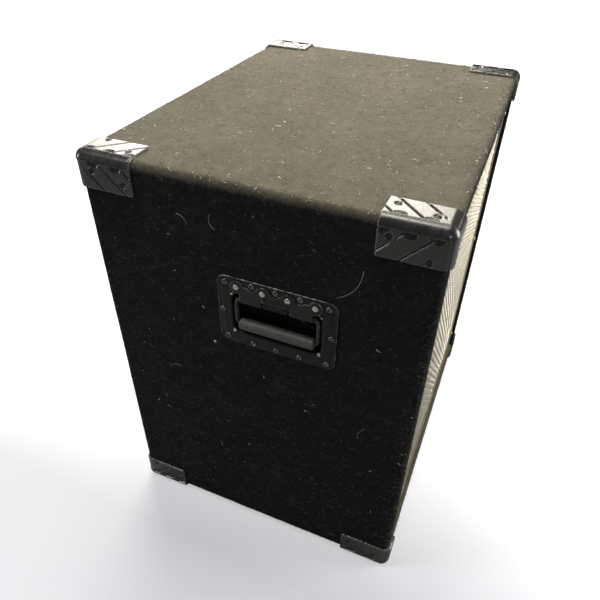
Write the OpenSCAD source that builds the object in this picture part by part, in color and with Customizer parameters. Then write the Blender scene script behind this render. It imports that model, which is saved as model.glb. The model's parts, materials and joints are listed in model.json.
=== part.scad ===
// Subwoofer cabinet: a carpeted plywood box with an eighteen inch driver behind a wire-mesh
// grille, two corner ports, two sprung bar handles and eight moulded corner protectors.
// Origin: centre of the footprint on the floor. +Z is up and the grille faces -Y.

/* [Cabinet] */
// Width over the carpet, left to right
body_w = 590; // [570:1:640]
// Depth over the carpet, grille to rear
body_d = 465; // [440:1:560]
// Height over the carpet
body_h = 650; // [640:1:700]
// Plywood thickness of every panel
ply_t = 18; // [16:0.5:19]
// Thickness of the carpet covering
carpet_t = 2; // [1.8:0.1:2.5]
// Radius of the carpeted edges
edge_r = 10; // [9:0.5:12]
// Section of the inner glue battens
batten = 22; // [18:1:24]

/* [Corner protectors] */
// How far the protectors stand proud of the carpet
corner_t = 4; // [3:0.5:5]
// Leg along the depth of the cabinet
leg_d = 80; // [76:1:90]
// Leg down the side face
leg_h = 46; // [44:1:60]
// Leg across the top face
leg_w = 46; // [44:1:60]
// Width of the raised bead along the edges
bead_w = 14; // [13:1:18]
// Depth of the plates below the bead
plate_step = 0.5; // [0.3:0.1:0.8]

/* [Grille] */
// Recess of the grille behind the front rim
grille_recess = 6.5; // [5:0.5:10]
// Width of the frame round the mesh
frame_w = 15; // [12:1:20]
// Sheet thickness of the grille frame
frame_t = 1.5; // [1:0.1:2]
// Thickness of the woven mesh over its crimps
mesh_t = 4; // [3:0.5:5]

/* [Woofer] */
// Outside diameter of the driver's frame
woofer_od = 463; // [455:1:466]
// Cut-out in the baffle
cutout_d = 424; // [420:1:428]
// Bolt circle of the driver
bolt_circle = 440; // [436:1:444]
// Number of mounting bolts
bolts = 8; // [4:4:8]
// Outside diameter of the moving cone
cone_d = 368; // [360:1:370]
// Diameter of the dust cap
cap_d = 150; // [120:1:160]
// Diameter of the voice coil
coil_d = 102; // [100:0.5:102]
// Depth of the cone from its rim to its neck
cone_depth = 82; // [75:1:86]

/* [Ports] */
// Inside diameter of each port tube
port_d = 102; // [90:1:104]
// Length of each port tube behind the baffle front
port_len = 150; // [100:1:180]
// Sideways place of the ports
port_x = 185; // [175:1:188]

/* [Handles] */
// Height of the handle centre above the floor
handle_z = 473; // [430:1:480]
// Place of the handle centre along the depth
handle_y = -37; // [-50:1:0]
// Length of the handle flange
flange_l = 164; // [162:1:170]
// Width of the opening in the flange
open_l = 124; // [122:1:126]
// Diameter of the grip
grip_d = 17; // [16:0.5:18]
// Distance from the hinge axis to the grip axis
bail_len = 41; // [38:0.5:42]
// Diameter of the bail's steel rod
rod_d = 6; // [6:0.5:7]
// Depth of the dish behind the carpet
dish_depth = 30; // [26:1:32]

/* [Jack plate] */
// Width of the rear jack plate
plate_w = 130; // [120:1:150]
// Height of the rear jack plate
plate_h = 86; // [80:1:100]
// Height of the jack plate centre above the floor
plate_z = 210; // [180:1:260]
// Bore of the jack sockets for a quarter-inch plug
jack_bore_d = 6.5; // [6.4:0.05:6.6]

/* [Hidden] */
$fn = 64;
fit = 0.05;
floor_z = corner_t;
top_z = floor_z + body_h;
mid_z = floor_z + body_h / 2;
wood_w = body_w - 2 * carpet_t;
wood_d = body_d - 2 * carpet_t;
wood_h = body_h - 2 * carpet_t;
wood_r = edge_r - carpet_t;
wall = carpet_t + ply_t;
inner_w = body_w - 2 * wall;
inner_h = body_h - 2 * wall;
lip = wall + carpet_t;
front_y = -body_d / 2;
frame_y = front_y + grille_recess;
frame_depth = 2 * frame_t + mesh_t;
batten_front_y = frame_y + frame_depth;
baffle_y = batten_front_y + 24;
baffle_rear_y = baffle_y + ply_t;
rear_y = body_d / 2 - carpet_t;
rear_front_y = rear_y - ply_t;
brace_y = 62;
woofer_z = top_z - wall - batten - 1 - woofer_od / 2;
port_z = floor_z + wall + batten + 70;
port_wall = 3;
port_flange_d = port_d + 26;
wadding_t = 20;
screw_r = 1.9;
screw_head_r = 4.2;
screw_head_t = 2;
screw_len = 16;
screw_seat = 1.2;
groove_pitch = 32.5;
groove_w = 4;
groove_depth = 1;

// Driver levels, measured out of the baffle front along the driver's axis
flange_t = 8;
gasket_t = 3;
cone_rim_z = 8;
neck_z = cone_rim_z - cone_depth;
spider_z = neck_z - 12;
back_z = -122;
top_plate_t = 10;
magnet_t = 24;
yoke_t = 12;
basket_wall_r = cutout_d / 2 - 3;
basket_in_r = cutout_d / 2 - 6;
shelf_r = 112;
spider_in_r = coil_d / 2 + 1.2;
terminal_z = back_z + 16;
terminal_r = shelf_r + 28;
cone_t = 1.6;

// Handle levels: x along the flange, y up the side, z out of the carpet
flange_sheet = 1.5;
emboss = 0.8;
flange_h = 108;
open_low = -33;
open_high = 31;
hinge_y = 21;
hinge_z = -1.5;
rod_r = rod_d / 2;
strap_sheet = 1.2;
strap_z = flange_sheet + emboss + fit;
strap_top = strap_z + strap_sheet;
barrel_r = strap_top - hinge_z;
arm_x = 57;
strap_half = 50;
rivet_x = [-53.5, -17, 17, 53.5];
rivet_y = 42;
ring_screws = [
    for (x = [-33, 0, 33], y = [-47.4, 47.4]) [x, y],
    for (x = [-70.4, 70.4], y = [-44.8, 44.8]) [x, y],
    [-75.2, 0],
    [75.2, 0]
];

// Protector screw places, from the two edges of each plate
side_screws = [[66, 18.8], [21, 39.5]];
top_screws = [[23, 20.5], [67, 31]];
rear_screw = [31, 31];

// ---- shared shapes ----

// A centred rectangle with round corners
module round_rect(a, b, r) {
    square([a, b - 2 * r], center = true);
    square([a - 2 * r, b], center = true);
    for (x = [-1, 1], y = [-1, 1])
        translate([x * (a / 2 - r), y * (b / 2 - r)])
            circle(r);
}

// A centred block with every edge rounded
module rounded_block(a, b, c, r) {
    intersection() {
        linear_extrude(c + 2, center = true) round_rect(a, b, r);
        rotate([90, 0, 0]) linear_extrude(b + 2, center = true) round_rect(a, c, r);
        rotate([90, 0, 90]) linear_extrude(a + 2, center = true) round_rect(b, c, r);
    }
}

// A block given by its lowest and highest corners
module span(low, high) {
    translate(low) cube(high - low);
}

// A flat ring of wood, carpet or sheet standing between two depths
module upright_ring(w, h, r, w_in, h_in, r_in, y0, y1) {
    translate([0, y1, mid_z]) rotate([90, 0, 0]) linear_extrude(y1 - y0)
        difference() {
            round_rect(w, h, r);
            round_rect(w_in, h_in, r_in);
        }
}

// The carcass before it is cut into panels
module wood_block() {
    translate([0, 0, mid_z]) rounded_block(wood_w, wood_d, wood_h, wood_r);
}

// Children drawn in a handle's own frame, on the left (-1) or right (1) side
module on_side(side) {
    translate([side * body_w / 2, handle_y, handle_z]) rotate([90, 0, 90 * side]) children();
}

// Children drawn with the driver's axis as z, out of the baffle front
module on_baffle(x, z) {
    translate([x, baffle_y, z]) rotate([90, 0, 0]) children();
}

// Children drawn with z out of the rear face of the rear panel
module on_rear(z) {
    translate([0, rear_y, z]) rotate([90, 0, 180]) children();
}

// A turned ring from a radius and level to another
module turned(r0, r1, z0, z1) {
    rotate_extrude() translate([r0, z0]) square([r1 - r0, z1 - z0]);
}

// A straight round bar between two points
module bar(p, q, r) {
    d = q - p;
    len = norm(d);
    translate(p) rotate([0, acos(d.z / len), atan2(d.y, d.x)]) cylinder(h = len, r = r);
}

// ---- plywood ----

module side_panel(side) {
    color("burlywood") difference() {
        intersection() {
            wood_block();
            span([min(side * (body_w / 2 - wall), side * body_w / 2), front_y, floor_z + wall],
                 [max(side * (body_w / 2 - wall), side * body_w / 2), -front_y, top_z - wall]);
        }
        on_side(side) {
            dish_pocket(-wall - 1, 1.2);
            tail_pocket();
        }
    }
}

module side_panel_left() {
    side_panel(-1);
}

module side_panel_right() {
    side_panel(1);
}

module top_panel() {
    color("burlywood") intersection() {
        wood_block();
        span([-body_w, front_y, top_z - wall], [body_w, -front_y, top_z]);
    }
}

module bottom_panel() {
    color("burlywood") intersection() {
        wood_block();
        span([-body_w, front_y, floor_z], [body_w, -front_y, floor_z + wall]);
    }
}

module rear_panel() {
    color("burlywood") difference() {
        span([-inner_w / 2, rear_front_y, floor_z + wall], [inner_w / 2, rear_y, top_z - wall]);
        on_rear(plate_z) translate([0, 0, -ply_t - 1]) linear_extrude(ply_t + 2)
            round_rect(plate_w - 26, plate_h - 26, 6);
    }
}

module baffle() {
    color("dimgray") difference() {
        span([-inner_w / 2, baffle_y, floor_z + wall], [inner_w / 2, baffle_rear_y, top_z - wall]);
        on_baffle(0, woofer_z) {
            translate([0, 0, -ply_t - 1]) cylinder(h = ply_t + 2, d = cutout_d, $fn = 128);
            bolt_places() {
                translate([0, 0, -ply_t - 1]) cylinder(h = ply_t + 2, r = 3.3, $fn = 32);
                translate([0, 0, -ply_t - 1]) cylinder(h = 11, r = 4.3, $fn = 32);
            }
        }
        for (x = [-port_x, port_x])
            on_baffle(x, port_z) translate([0, 0, -ply_t - 1])
                cylinder(h = ply_t + 2, d = port_d + 2 * port_wall + 2 * fit, $fn = 96);
    }
}

// Four battens round the inside, from one depth to another
module batten_ring(y0, y1) {
    hw = inner_w / 2;
    low = floor_z + wall;
    high = top_z - wall;
    span([-hw, y0, low], [hw, y1, low + batten]);
    span([-hw, y0, high - batten], [hw, y1, high]);
    for (x = [-hw, hw - batten])
        span([x, y0, low + batten], [x + batten, y1, high - batten]);
}

module baffle_battens() {
    color("tan") batten_ring(baffle_rear_y, baffle_rear_y + batten);
}

module rear_battens() {
    color("tan") batten_ring(rear_front_y - batten, rear_front_y);
}

module grille_battens() {
    color("dimgray") batten_ring(batten_front_y, baffle_y);
}

module window_brace() {
    color("tan") difference() {
        span([-inner_w / 2, brace_y, floor_z + wall], [inner_w / 2, brace_y + ply_t, top_z - wall]);
        for (z = [floor_z + wall + 150, top_z - wall - 150])
            translate([0, brace_y - 1, z]) rotate([-90, 0, 0]) linear_extrude(ply_t + 2)
                round_rect(inner_w - 130, 230, 60);
    }
}

// ---- lining and carpet ----

module side_wadding(side) {
    low = baffle_rear_y + batten + 4;
    x0 = side * inner_w / 2;
    x1 = side * (inner_w / 2 - wadding_t);
    color("gainsboro") difference() {
        span([min(x0, x1), low, floor_z + wall + 24], [max(x0, x1), brace_y - 4, top_z - wall - 24]);
        on_side(side) dish_pocket(-wall - wadding_t - 1, 8);
    }
}

module wadding_left() {
    side_wadding(-1);
}

module wadding_right() {
    side_wadding(1);
}

module wadding_rear() {
    edge = batten + 3;
    color("gainsboro") difference() {
        span([edge - inner_w / 2, rear_front_y - wadding_t, floor_z + wall + edge],
             [inner_w / 2 - edge, rear_front_y, top_z - wall - edge]);
        on_rear(plate_z) translate([0, 0, -ply_t - wadding_t - 1]) linear_extrude(wadding_t + 2)
            round_rect(plate_w, plate_h, 8);
    }
}

module carpet_wrap() {
    color("darkslategray") {
        difference() {
            translate([0, 0, mid_z]) rounded_block(body_w, body_d, body_h, edge_r);
            wood_block();
            translate([0, 0, mid_z]) rotate([90, 0, 0]) linear_extrude(body_d + 2, center = true)
                round_rect(inner_w, inner_h, 1);
            for (side = [-1, 1])
                on_side(side) {
                    dish_pocket(-carpet_t - 1, 1.2);
                    tail_pocket();
                }
        }
        upright_ring(inner_w, inner_h, 1, body_w - 2 * lip, body_h - 2 * lip, 3,
                     front_y + carpet_t / 2, batten_front_y - 0.5);
    }
}

module carpet_rear() {
    color("darkslategray") difference() {
        translate([0, -front_y, mid_z]) rotate([90, 0, 0]) linear_extrude(carpet_t)
            round_rect(inner_w - 2 * fit, inner_h - 2 * fit, 1);
        on_rear(plate_z) translate([0, 0, -1]) linear_extrude(carpet_t + 2)
            round_rect(plate_w + 1, plate_h + 1, 6);
    }
}

// ---- corner protectors ----

// Section through two faces meeting at the cabinet's corner, grown outwards by off
module corner_section(a, b, off) {
    translate([-a, -b]) square([a - edge_r, b + off]);
    translate([-a, -b]) square([a + off, b - edge_r]);
    translate([-edge_r, -edge_r]) circle(edge_r + off);
}

// The corner of the cabinet grown outwards by off, with legs of length a, b and c
module corner_block(off, a, b, c) {
    over = off + 1;
    intersection() {
        translate([0, 0, -c]) linear_extrude(c + over) corner_section(a, b, off);
        translate([0, over, 0]) rotate([90, 0, 0]) linear_extrude(b + over) corner_section(a, c, off);
        translate([-a, 0, 0]) rotate([90, 0, 90]) linear_extrude(a + over) corner_section(b, c, off);
    }
}

// Grooves at 45 degrees into a plate of length a and width b whose face is z = 0
module plate_grooves(a, b, first) {
    intersection() {
        for (k = [0:2])
            translate([0, groove_pitch * k - first, -groove_depth]) rotate(225)
                translate([0, -groove_w / 2, 0]) cube([2 * a, groove_w, groove_depth + 1]);
        translate([-a - 1, -b - 1, -groove_depth]) cube([a - bead_w, b - bead_w, groove_depth + 1]);
    }
}

// The whole protector in its own corner: x is sideways, y along the depth, z up
module protector(rear, swap) {
    low = corner_t - plate_step;
    past = 3;
    color("dimgray") difference() {
        union() {
            difference() {
                corner_block(corner_t, leg_w, leg_d, leg_h);
                corner_block(0, leg_w + past, leg_d + past, leg_h + past);
                span([low, -leg_d - 1, -leg_h - 1], [corner_t + 1, -bead_w, -bead_w]);
                span([-leg_w - 1, -leg_d - 1, low], [-bead_w, -bead_w, corner_t + 1]);
                if (rear)
                    span([-leg_w - 1, low, -leg_h - 1], [-bead_w, corner_t + 1, -bead_w]);
                else
                    span([-leg_w - 1, -1, -leg_h - 1], [-wall, corner_t + 1, -wall]);
            }
        }
        translate([0, 0, low]) rotate(90) mirror([0, 1, 0])
            plate_grooves(leg_d, leg_w, swap ? -6 : 7);
        translate([low, 0, 0]) rotate([90, 0, 90]) plate_grooves(leg_d, leg_h, swap ? 7 : -6);
        protector_screw_places(rear, swap) {
            translate([0, 0, -1]) cylinder(h = corner_t + 2, r = screw_r + 0.2, $fn = 24);
            translate([0, 0, screw_seat]) cylinder(h = corner_t, r = screw_head_r + 0.3, $fn = 32);
        }
    }
}

// Children at each screw of a protector, z out of its plate
module protector_screw_places(rear, swap) {
    for (p = swap ? side_screws : top_screws)
        translate([-p[1], -p[0], 0]) children();
    for (p = swap ? top_screws : side_screws)
        translate([0, -p[0], -p[1]]) rotate([0, 90, 0]) children();
    if (rear)
        translate([-rear_screw[0], 0, -rear_screw[1]]) rotate([-90, 0, 0]) children();
}

// Children drawn in the corner frame of one of the eight corners
module at_corner(sx, sy, sz) {
    translate([sx * body_w / 2, sy * body_d / 2, mid_z + sz * body_h / 2])
        mirror([sx < 0 ? 1 : 0, 0, 0]) mirror([0, sy < 0 ? 1 : 0, 0]) mirror([0, 0, sz < 0 ? 1 : 0])
            children();
}

module corner_front_top_left() {
    at_corner(-1, -1, 1) protector(false, false);
}

module corner_front_top_right() {
    at_corner(1, -1, 1) protector(false, true);
}

module corner_front_bottom_left() {
    at_corner(-1, -1, -1) protector(false, true);
}

module corner_front_bottom_right() {
    at_corner(1, -1, -1) protector(false, false);
}

module corner_rear_top_left() {
    at_corner(-1, 1, 1) protector(true, true);
}

module corner_rear_top_right() {
    at_corner(1, 1, 1) protector(true, false);
}

module corner_rear_bottom_left() {
    at_corner(-1, 1, -1) protector(true, false);
}

module corner_rear_bottom_right() {
    at_corner(1, 1, -1) protector(true, true);
}

// A round-headed wood screw whose head sits on z = seat
module wood_screw(seat) {
    translate([0, 0, seat]) cylinder(h = screw_head_t, r = screw_head_r, $fn = 32);
    translate([0, 0, seat - screw_len]) cylinder(h = screw_len, r = screw_r, $fn = 24);
}

module corner_screws() {
    color("black")
        for (sx = [-1, 1], sy = [-1, 1], sz = [-1, 1])
            at_corner(sx, sy, sz) protector_screw_places(sy > 0, sx * sy * sz < 0)
                wood_screw(screw_seat);
}

// ---- grille ----

mesh_w = body_w - 2 * lip - 2 - 2 * frame_t;
mesh_h = body_h - 2 * lip - 2 - 2 * frame_t;

// Children at each grille screw, z out of the front
module grille_screw_places() {
    for (x = [-1, 1], z = [-1, 0, 1])
        translate([x * (mesh_w / 2 + frame_t - frame_w / 2), frame_y, mid_z + z * (mesh_h / 2 - 40)])
            rotate([90, 0, 0]) children();
}

module grille_frame() {
    color("lightgray") difference() {
        upright_ring(mesh_w + 2 * frame_t, mesh_h + 2 * frame_t, 4,
                     mesh_w + 2 * frame_t - 2 * frame_w, mesh_h + 2 * frame_t - 2 * frame_w, 6,
                     frame_y, frame_y + frame_depth);
        upright_ring(mesh_w, mesh_h, 2.5, 20, 20, 2, frame_y + frame_t, frame_y + frame_t + mesh_t);
        grille_screw_places() translate([0, 0, -frame_depth - 1])
            cylinder(h = frame_depth + 2, r = screw_r + 0.4, $fn = 24);
    }
}

module grille_mesh() {
    color("silver") difference() {
        translate([0, frame_y + frame_t + mesh_t - fit, mid_z]) rotate([90, 0, 0])
            linear_extrude(mesh_t - 2 * fit) round_rect(mesh_w - 2 * fit, mesh_h - 2 * fit, 2.5);
        grille_screw_places() translate([0, 0, -frame_depth - 1])
            cylinder(h = frame_depth + 2, r = screw_r + 0.4, $fn = 24);
    }
}

module grille_screws() {
    color("silver") grille_screw_places() {
        cylinder(h = screw_head_t, r = screw_head_r, $fn = 32);
        translate([0, 0, -screw_len - 8]) cylinder(h = screw_len + 8, r = screw_r, $fn = 24);
    }
}

// ---- ports ----

module port_tube(x) {
    color("black") on_baffle(x, port_z) {
        turned(port_d / 2, port_d / 2 + port_wall, -port_len, 0);
        turned(port_d / 2, port_flange_d / 2, 0, port_wall);
    }
}

module port_tube_left() {
    port_tube(-port_x);
}

module port_tube_right() {
    port_tube(port_x);
}

// ---- driver ----

// Children at each mounting bolt, in the driver's frame
module bolt_places() {
    for (i = [0:bolts - 1])
        rotate(360 * (i + 0.5) / bolts) translate([bolt_circle / 2, 0, 0]) children();
}

module woofer_basket() {
    spokes = 6;
    color("dimgray") on_baffle(0, woofer_z) difference() {
        union() {
            turned(basket_in_r, woofer_od / 2, 0, flange_t);
            turned(basket_in_r, basket_wall_r, -24, 0);
            turned(62, shelf_r, back_z, back_z + 8);
            turned(shelf_r - 10, shelf_r, back_z, spider_z);
            for (i = [0:spokes - 1])
                rotate([90, 0, 360 * i / spokes]) linear_extrude(16, center = true)
                    polygon([
                        [shelf_r - 3, back_z], [shelf_r - 3, spider_z],
                        [basket_in_r + 0.5, -20], [basket_wall_r - 0.3, -20],
                        [basket_wall_r - 0.3, -30], [shelf_r + 14, back_z]
                    ]);
        }
        bolt_places() translate([0, 0, -1]) cylinder(h = flange_t + 2, r = 3.3, $fn = 32);
    }
}

module woofer_gasket() {
    color("black") on_baffle(0, woofer_z) difference() {
        turned(basket_in_r + 8, woofer_od / 2, flange_t, flange_t + gasket_t);
        bolt_places() cylinder(h = 20, r = 3.3, $fn = 32);
    }
}

module woofer_top_plate() {
    color("silver") on_baffle(0, woofer_z)
        turned(coil_d / 2 + 3, 100, back_z - top_plate_t, back_z);
}

module woofer_magnet() {
    color("dimgray") on_baffle(0, woofer_z)
        turned(66, 110, back_z - top_plate_t - magnet_t, back_z - top_plate_t);
}

module woofer_yoke() {
    yoke_top = back_z - top_plate_t - magnet_t;
    color("silver") on_baffle(0, woofer_z) {
        turned(15, 98, yoke_top - yoke_t, yoke_top);
        turned(15, coil_d / 2 - 3, yoke_top, back_z + 2);
    }
}

// A corrugated cloth ring between two flat rims, as one turned section
module wavy_ring(rim_in, r0, r1, rim_out, z, waves, height, t) {
    steps = 6 * waves;
    line = [
        [rim_in, z],
        for (i = [0:steps]) [r0 + (r1 - r0) * i / steps, z + height * sin(180 * waves * i / steps)],
        [rim_out, z]
    ];
    rotate_extrude($fn = 128)
        polygon([
            for (p = line) p + [0, t / 2],
            for (i = [len(line) - 1:-1:0]) line[i] - [0, t / 2]
        ]);
}

module woofer_surround() {
    t = 1;
    color("black") on_baffle(0, woofer_z)
        wavy_ring(cone_d / 2 - 6, cone_d / 2 + 0.5, basket_in_r - 0.8, basket_in_r + 7,
            cone_rim_z + t / 2 + fit, 2, 5, t - 2 * fit);
}

module woofer_spider() {
    t = 1;
    color("goldenrod") on_baffle(0, woofer_z)
        wavy_ring(spider_in_r, spider_in_r + 1, shelf_r - 10.5, shelf_r - 3.5,
            spider_z + t / 2 + fit, 5, 3, t);
}

module woofer_terminals() {
    color("firebrick") on_baffle(0, woofer_z) rotate(270) translate([0, 0, terminal_z]) {
        span([shelf_r - 4, -26, -1.5], [shelf_r + 14, 26, 1.5]);
        for (x = [-16, 16])
            translate([shelf_r + 10, x, 0]) rotate([0, 90, 0])
                cylinder(h = terminal_r - shelf_r - 10, r = 3, $fn = 32);
    }
}

module woofer_bolts() {
    color("black") on_baffle(0, woofer_z) bolt_places() {
        translate([0, 0, flange_t + gasket_t]) cylinder(h = 5, r = 6, $fn = 32);
        translate([0, 0, -ply_t - 6]) cylinder(h = ply_t + 6 + flange_t + gasket_t, r = 3, $fn = 32);
    }
}

module woofer_tee_nuts() {
    color("silver") on_baffle(0, woofer_z) bolt_places() difference() {
        union() {
            translate([0, 0, -ply_t - 1.6]) cylinder(h = 1.6, r = 8.5, $fn = 32);
            translate([0, 0, -ply_t - 1]) cylinder(h = 9, r = 4.2, $fn = 32);
        }
        translate([0, 0, -ply_t - 2]) cylinder(h = 12, r = 2.9, $fn = 32);
    }
}

module woofer_cone() {
    neck_r = coil_d / 2 + 1.2;
    rim_r = cone_d / 2;
    color("dimgray") on_baffle(0, woofer_z) rotate_extrude($fn = 128)
        polygon([
            [neck_r, neck_z], [rim_r - 8, cone_rim_z - cone_t], [rim_r, cone_rim_z - cone_t],
            [rim_r, cone_rim_z], [rim_r - 8.6, cone_rim_z], [neck_r, neck_z + 2 * cone_t]
        ]);
}

module woofer_dust_cap() {
    base_r = cap_d / 2;
    rise = 22;
    dome_r = (base_r * base_r + rise * rise) / (2 * rise);
    half = asin(base_r / dome_r);
    base_z = neck_z + (cone_depth) * (base_r - coil_d / 2) / (cone_d / 2 - coil_d / 2) + 4;
    steps = 16;
    t = 1.2;
    color("black") on_baffle(0, woofer_z) translate([0, 0, base_z + rise - dome_r])
        rotate_extrude($fn = 128) polygon([
            for (i = [0:steps]) [dome_r * sin(half * i / steps), dome_r * cos(half * i / steps)],
            for (i = [steps:-1:0])
                [(dome_r - t) * sin(half * i / steps), (dome_r - t) * cos(half * i / steps)]
        ]);
}

module woofer_voice_coil() {
    color("peru") on_baffle(0, woofer_z) {
        turned(coil_d / 2 - 0.4, coil_d / 2 + 0.6, back_z - 12, neck_z + 6);
        turned(coil_d / 2 + 0.6, coil_d / 2 + 1.4, back_z - 11, back_z + 3);
    }
}

// ---- jack plate ----

socket_x = 38;

module jack_plate() {
    color("black") on_rear(plate_z) difference() {
        linear_extrude(2.5) round_rect(plate_w, plate_h, 6);
        for (x = [-socket_x, socket_x])
            translate([x, 0, -1]) cylinder(h = 5, r = 4.8, $fn = 32);
        translate([0, 0, -1]) cylinder(h = 5, r = 12.1, $fn = 64);
        for (x = [-1, 1], y = [-1, 1])
            translate([x * (plate_w / 2 - 7), y * (plate_h / 2 - 7), -1])
                cylinder(h = 5, r = screw_r + 0.3, $fn = 24);
    }
}

module jack_sockets() {
    color("gray") on_rear(plate_z) {
        for (x = [-socket_x, socket_x])
            translate([x, 0, 0]) difference() {
                union() {
                    translate([0, 0, -2]) cylinder(h = 8, r = 4.7, $fn = 32);
                    translate([0, 0, 2.5]) cylinder(h = 2.5, r = 7, $fn = 6);
                    translate([-9, -11, -26]) cube([18, 22, 26]);
                }
                translate([0, 0, -20]) cylinder(h = 30, d = jack_bore_d, $fn = 32);
            }
        difference() {
            union() {
                translate([0, 0, -24]) cylinder(h = 26.5, r = 12, $fn = 64);
                translate([0, 0, 2.5]) linear_extrude(2.5) round_rect(31, 31, 4);
            }
            translate([0, 0, -18]) cylinder(h = 30, r = 9.5, $fn = 64);
            for (x = [-11.5, 11.5])
                translate([x, -x, -1]) cylinder(h = 8, r = 1.7, $fn = 24);
        }
        translate([0, 0, -19]) cylinder(h = 21, r = 5.5, $fn = 32);
    }
}

module jack_plate_screws() {
    color("black") on_rear(plate_z)
        for (x = [-1, 1], y = [-1, 1])
            translate([x * (plate_w / 2 - 7), y * (plate_h / 2 - 7), 0]) wood_screw(2.5);
}

module speaker_wires() {
    wire_r = 1.6;
    color("crimson")
        for (x = [-16, 16]) {
            socket_back = rear_y - 24 - fit;
            post_y = baffle_y - terminal_z;
            post_end = woofer_z - terminal_r - fit;
            path = [
                [x * 0.35, socket_back, plate_z], [x * 0.35, socket_back - 20, plate_z],
                [x, socket_back - 45, plate_z - 20], [x, 20, plate_z - 20],
                [x, post_y, post_end - 30], [x, post_y, post_end]
            ];
            for (i = [0:len(path) - 2])
                bar(path[i], path[i + 1], wire_r, $fn = 24);
            for (i = [1:len(path) - 2])
                translate(path[i]) sphere(wire_r + 0.02, $fn = 24);
        }
}

// ---- handles, drawn in the handle's own frame ----

// The through hole for the dish, from level z0 outwards, grown by gap
module dish_pocket(z0, gap) {
    dish_high = open_high + 3.7;
    dish_low = open_low - 2.2;
    translate([0, (dish_high + dish_low) / 2, z0]) linear_extrude(5 - z0)
        round_rect(open_l + 4.4 + 2 * gap, dish_high - dish_low + 2 * gap, 12);
}

// The shallow pocket in the carpet and the panel for the rivet tails
module tail_pocket() {
    span([-58, 38, -carpet_t - 1.2], [58, 45.4, 5]);
}

// The raised field of the flange, with a lobe over each rivet and a scallop round each screw
module emboss_outline() {
    difference() {
        union() {
            round_rect(flange_l - 14, flange_h - 20, 8);
            for (x = rivet_x, y = [-1, 1])
                translate([x, y * 39]) circle(13, $fn = 48);
        }
        for (p = ring_screws)
            translate(p) circle(6.4, $fn = 48);
    }
}

module handle_dish(side) {
    dish_high = open_high + 2.5;
    dish_low = open_low - 1;
    dish_mid = (dish_high + dish_low) / 2;
    sheet = 1.2;
    color("dimgray") on_side(side) difference() {
        union() {
            linear_extrude(flange_sheet) round_rect(flange_l, flange_h, 12);
            linear_extrude(flange_sheet + emboss) emboss_outline();
            translate([0, dish_mid, -dish_depth]) linear_extrude(dish_depth + 0.5)
                round_rect(open_l + 2 + 2 * sheet, dish_high - dish_low + 2 * sheet, 11 + sheet);
        }
        translate([0, dish_mid, -dish_depth + sheet]) linear_extrude(dish_depth - sheet)
            round_rect(open_l + 2, dish_high - dish_low, 11);
        translate([0, (open_low + open_high) / 2, -1]) linear_extrude(flange_sheet + 4)
            round_rect(open_l, open_high - open_low, 10);
        for (p = ring_screws)
            translate([p[0], p[1], -1]) cylinder(h = 4, r = screw_r + 0.3, $fn = 24);
        for (x = rivet_x)
            translate([x, rivet_y, -1]) cylinder(h = 4, r = 2.05, $fn = 24);
    }
}

module handle_dish_left() {
    handle_dish(-1);
}

module handle_dish_right() {
    handle_dish(1);
}

// The hinge strap lies on the flange, dips into the opening and rolls round the bail's rod
module handle_strap(side) {
    color("gray") on_side(side) difference() {
        union() {
            translate([0, 0, strap_z]) linear_extrude(strap_sheet) difference() {
                union() {
                    translate([0, (open_high + rivet_y + 2) / 2])
                        square([2 * arm_x + 6, rivet_y - open_high], center = true);
                    translate([-strap_half, hinge_y]) square([2 * strap_half, rivet_y - hinge_y]);
                    for (x = rivet_x)
                        translate([x, rivet_y]) circle(9, $fn = 48);
                }
                for (p = ring_screws)
                    translate(p) circle(6.4, $fn = 48);
            }
            translate([-strap_half, hinge_y, hinge_z]) rotate([0, 90, 0])
                cylinder(h = 2 * strap_half, r = barrel_r, $fn = 64);
            translate([-18, open_high, strap_top - 2]) rotate([0, 90, 0])
                cylinder(h = 36, r = 4, $fn = 48);
        }
        translate([-strap_half - 1, hinge_y, hinge_z]) rotate([0, 90, 0])
            cylinder(h = 2 * strap_half + 2, r = rod_r + fit, $fn = 48);
        span([-20, hinge_y - 8, hinge_z - 8], [20, hinge_y + 5.4, strap_top + 1]);
        span([-20, open_high - 5, -4], [20, open_high + 5, strap_z]);
        for (x = rivet_x)
            translate([x, rivet_y, 0]) cylinder(h = 5, r = 2.05, $fn = 24);
    }
}

module handle_strap_left() {
    handle_strap(-1);
}

module handle_strap_right() {
    handle_strap(1);
}

module handle_rivets(side) {
    head_r = 4;
    color("gainsboro") on_side(side)
        for (x = rivet_x)
            translate([x, rivet_y, 0]) {
                translate([0, 0, strap_top]) cylinder(h = 1.6, r1 = head_r, r2 = head_r - 1.2, $fn = 32);
                translate([0, 0, -0.1]) cylinder(h = strap_top + 0.2, r = 2, $fn = 24);
                translate([0, 0, -1.25]) cylinder(h = 1.2, r = 3, $fn = 24);
            }
}

module handle_rivets_left() {
    handle_rivets(-1);
}

module handle_rivets_right() {
    handle_rivets(1);
}

module handle_screws(side) {
    color("dimgray") on_side(side)
        for (p = ring_screws)
            translate([p[0], p[1], 0]) wood_screw(flange_sheet);
}

module handle_screws_left() {
    handle_screws(-1);
}

module handle_screws_right() {
    handle_screws(1);
}

module handle_spring(side) {
    color("silver") on_side(side) translate([-18, hinge_y, hinge_z]) rotate([0, 90, 0])
        difference() {
            cylinder(h = 36, r = rod_r + 2.2, $fn = 48);
            translate([0, 0, -1]) cylinder(h = 38, r = rod_r + 0.7, $fn = 48);
        }
}

module handle_spring_left() {
    handle_spring(-1);
}

module handle_spring_right() {
    handle_spring(1);
}

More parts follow.
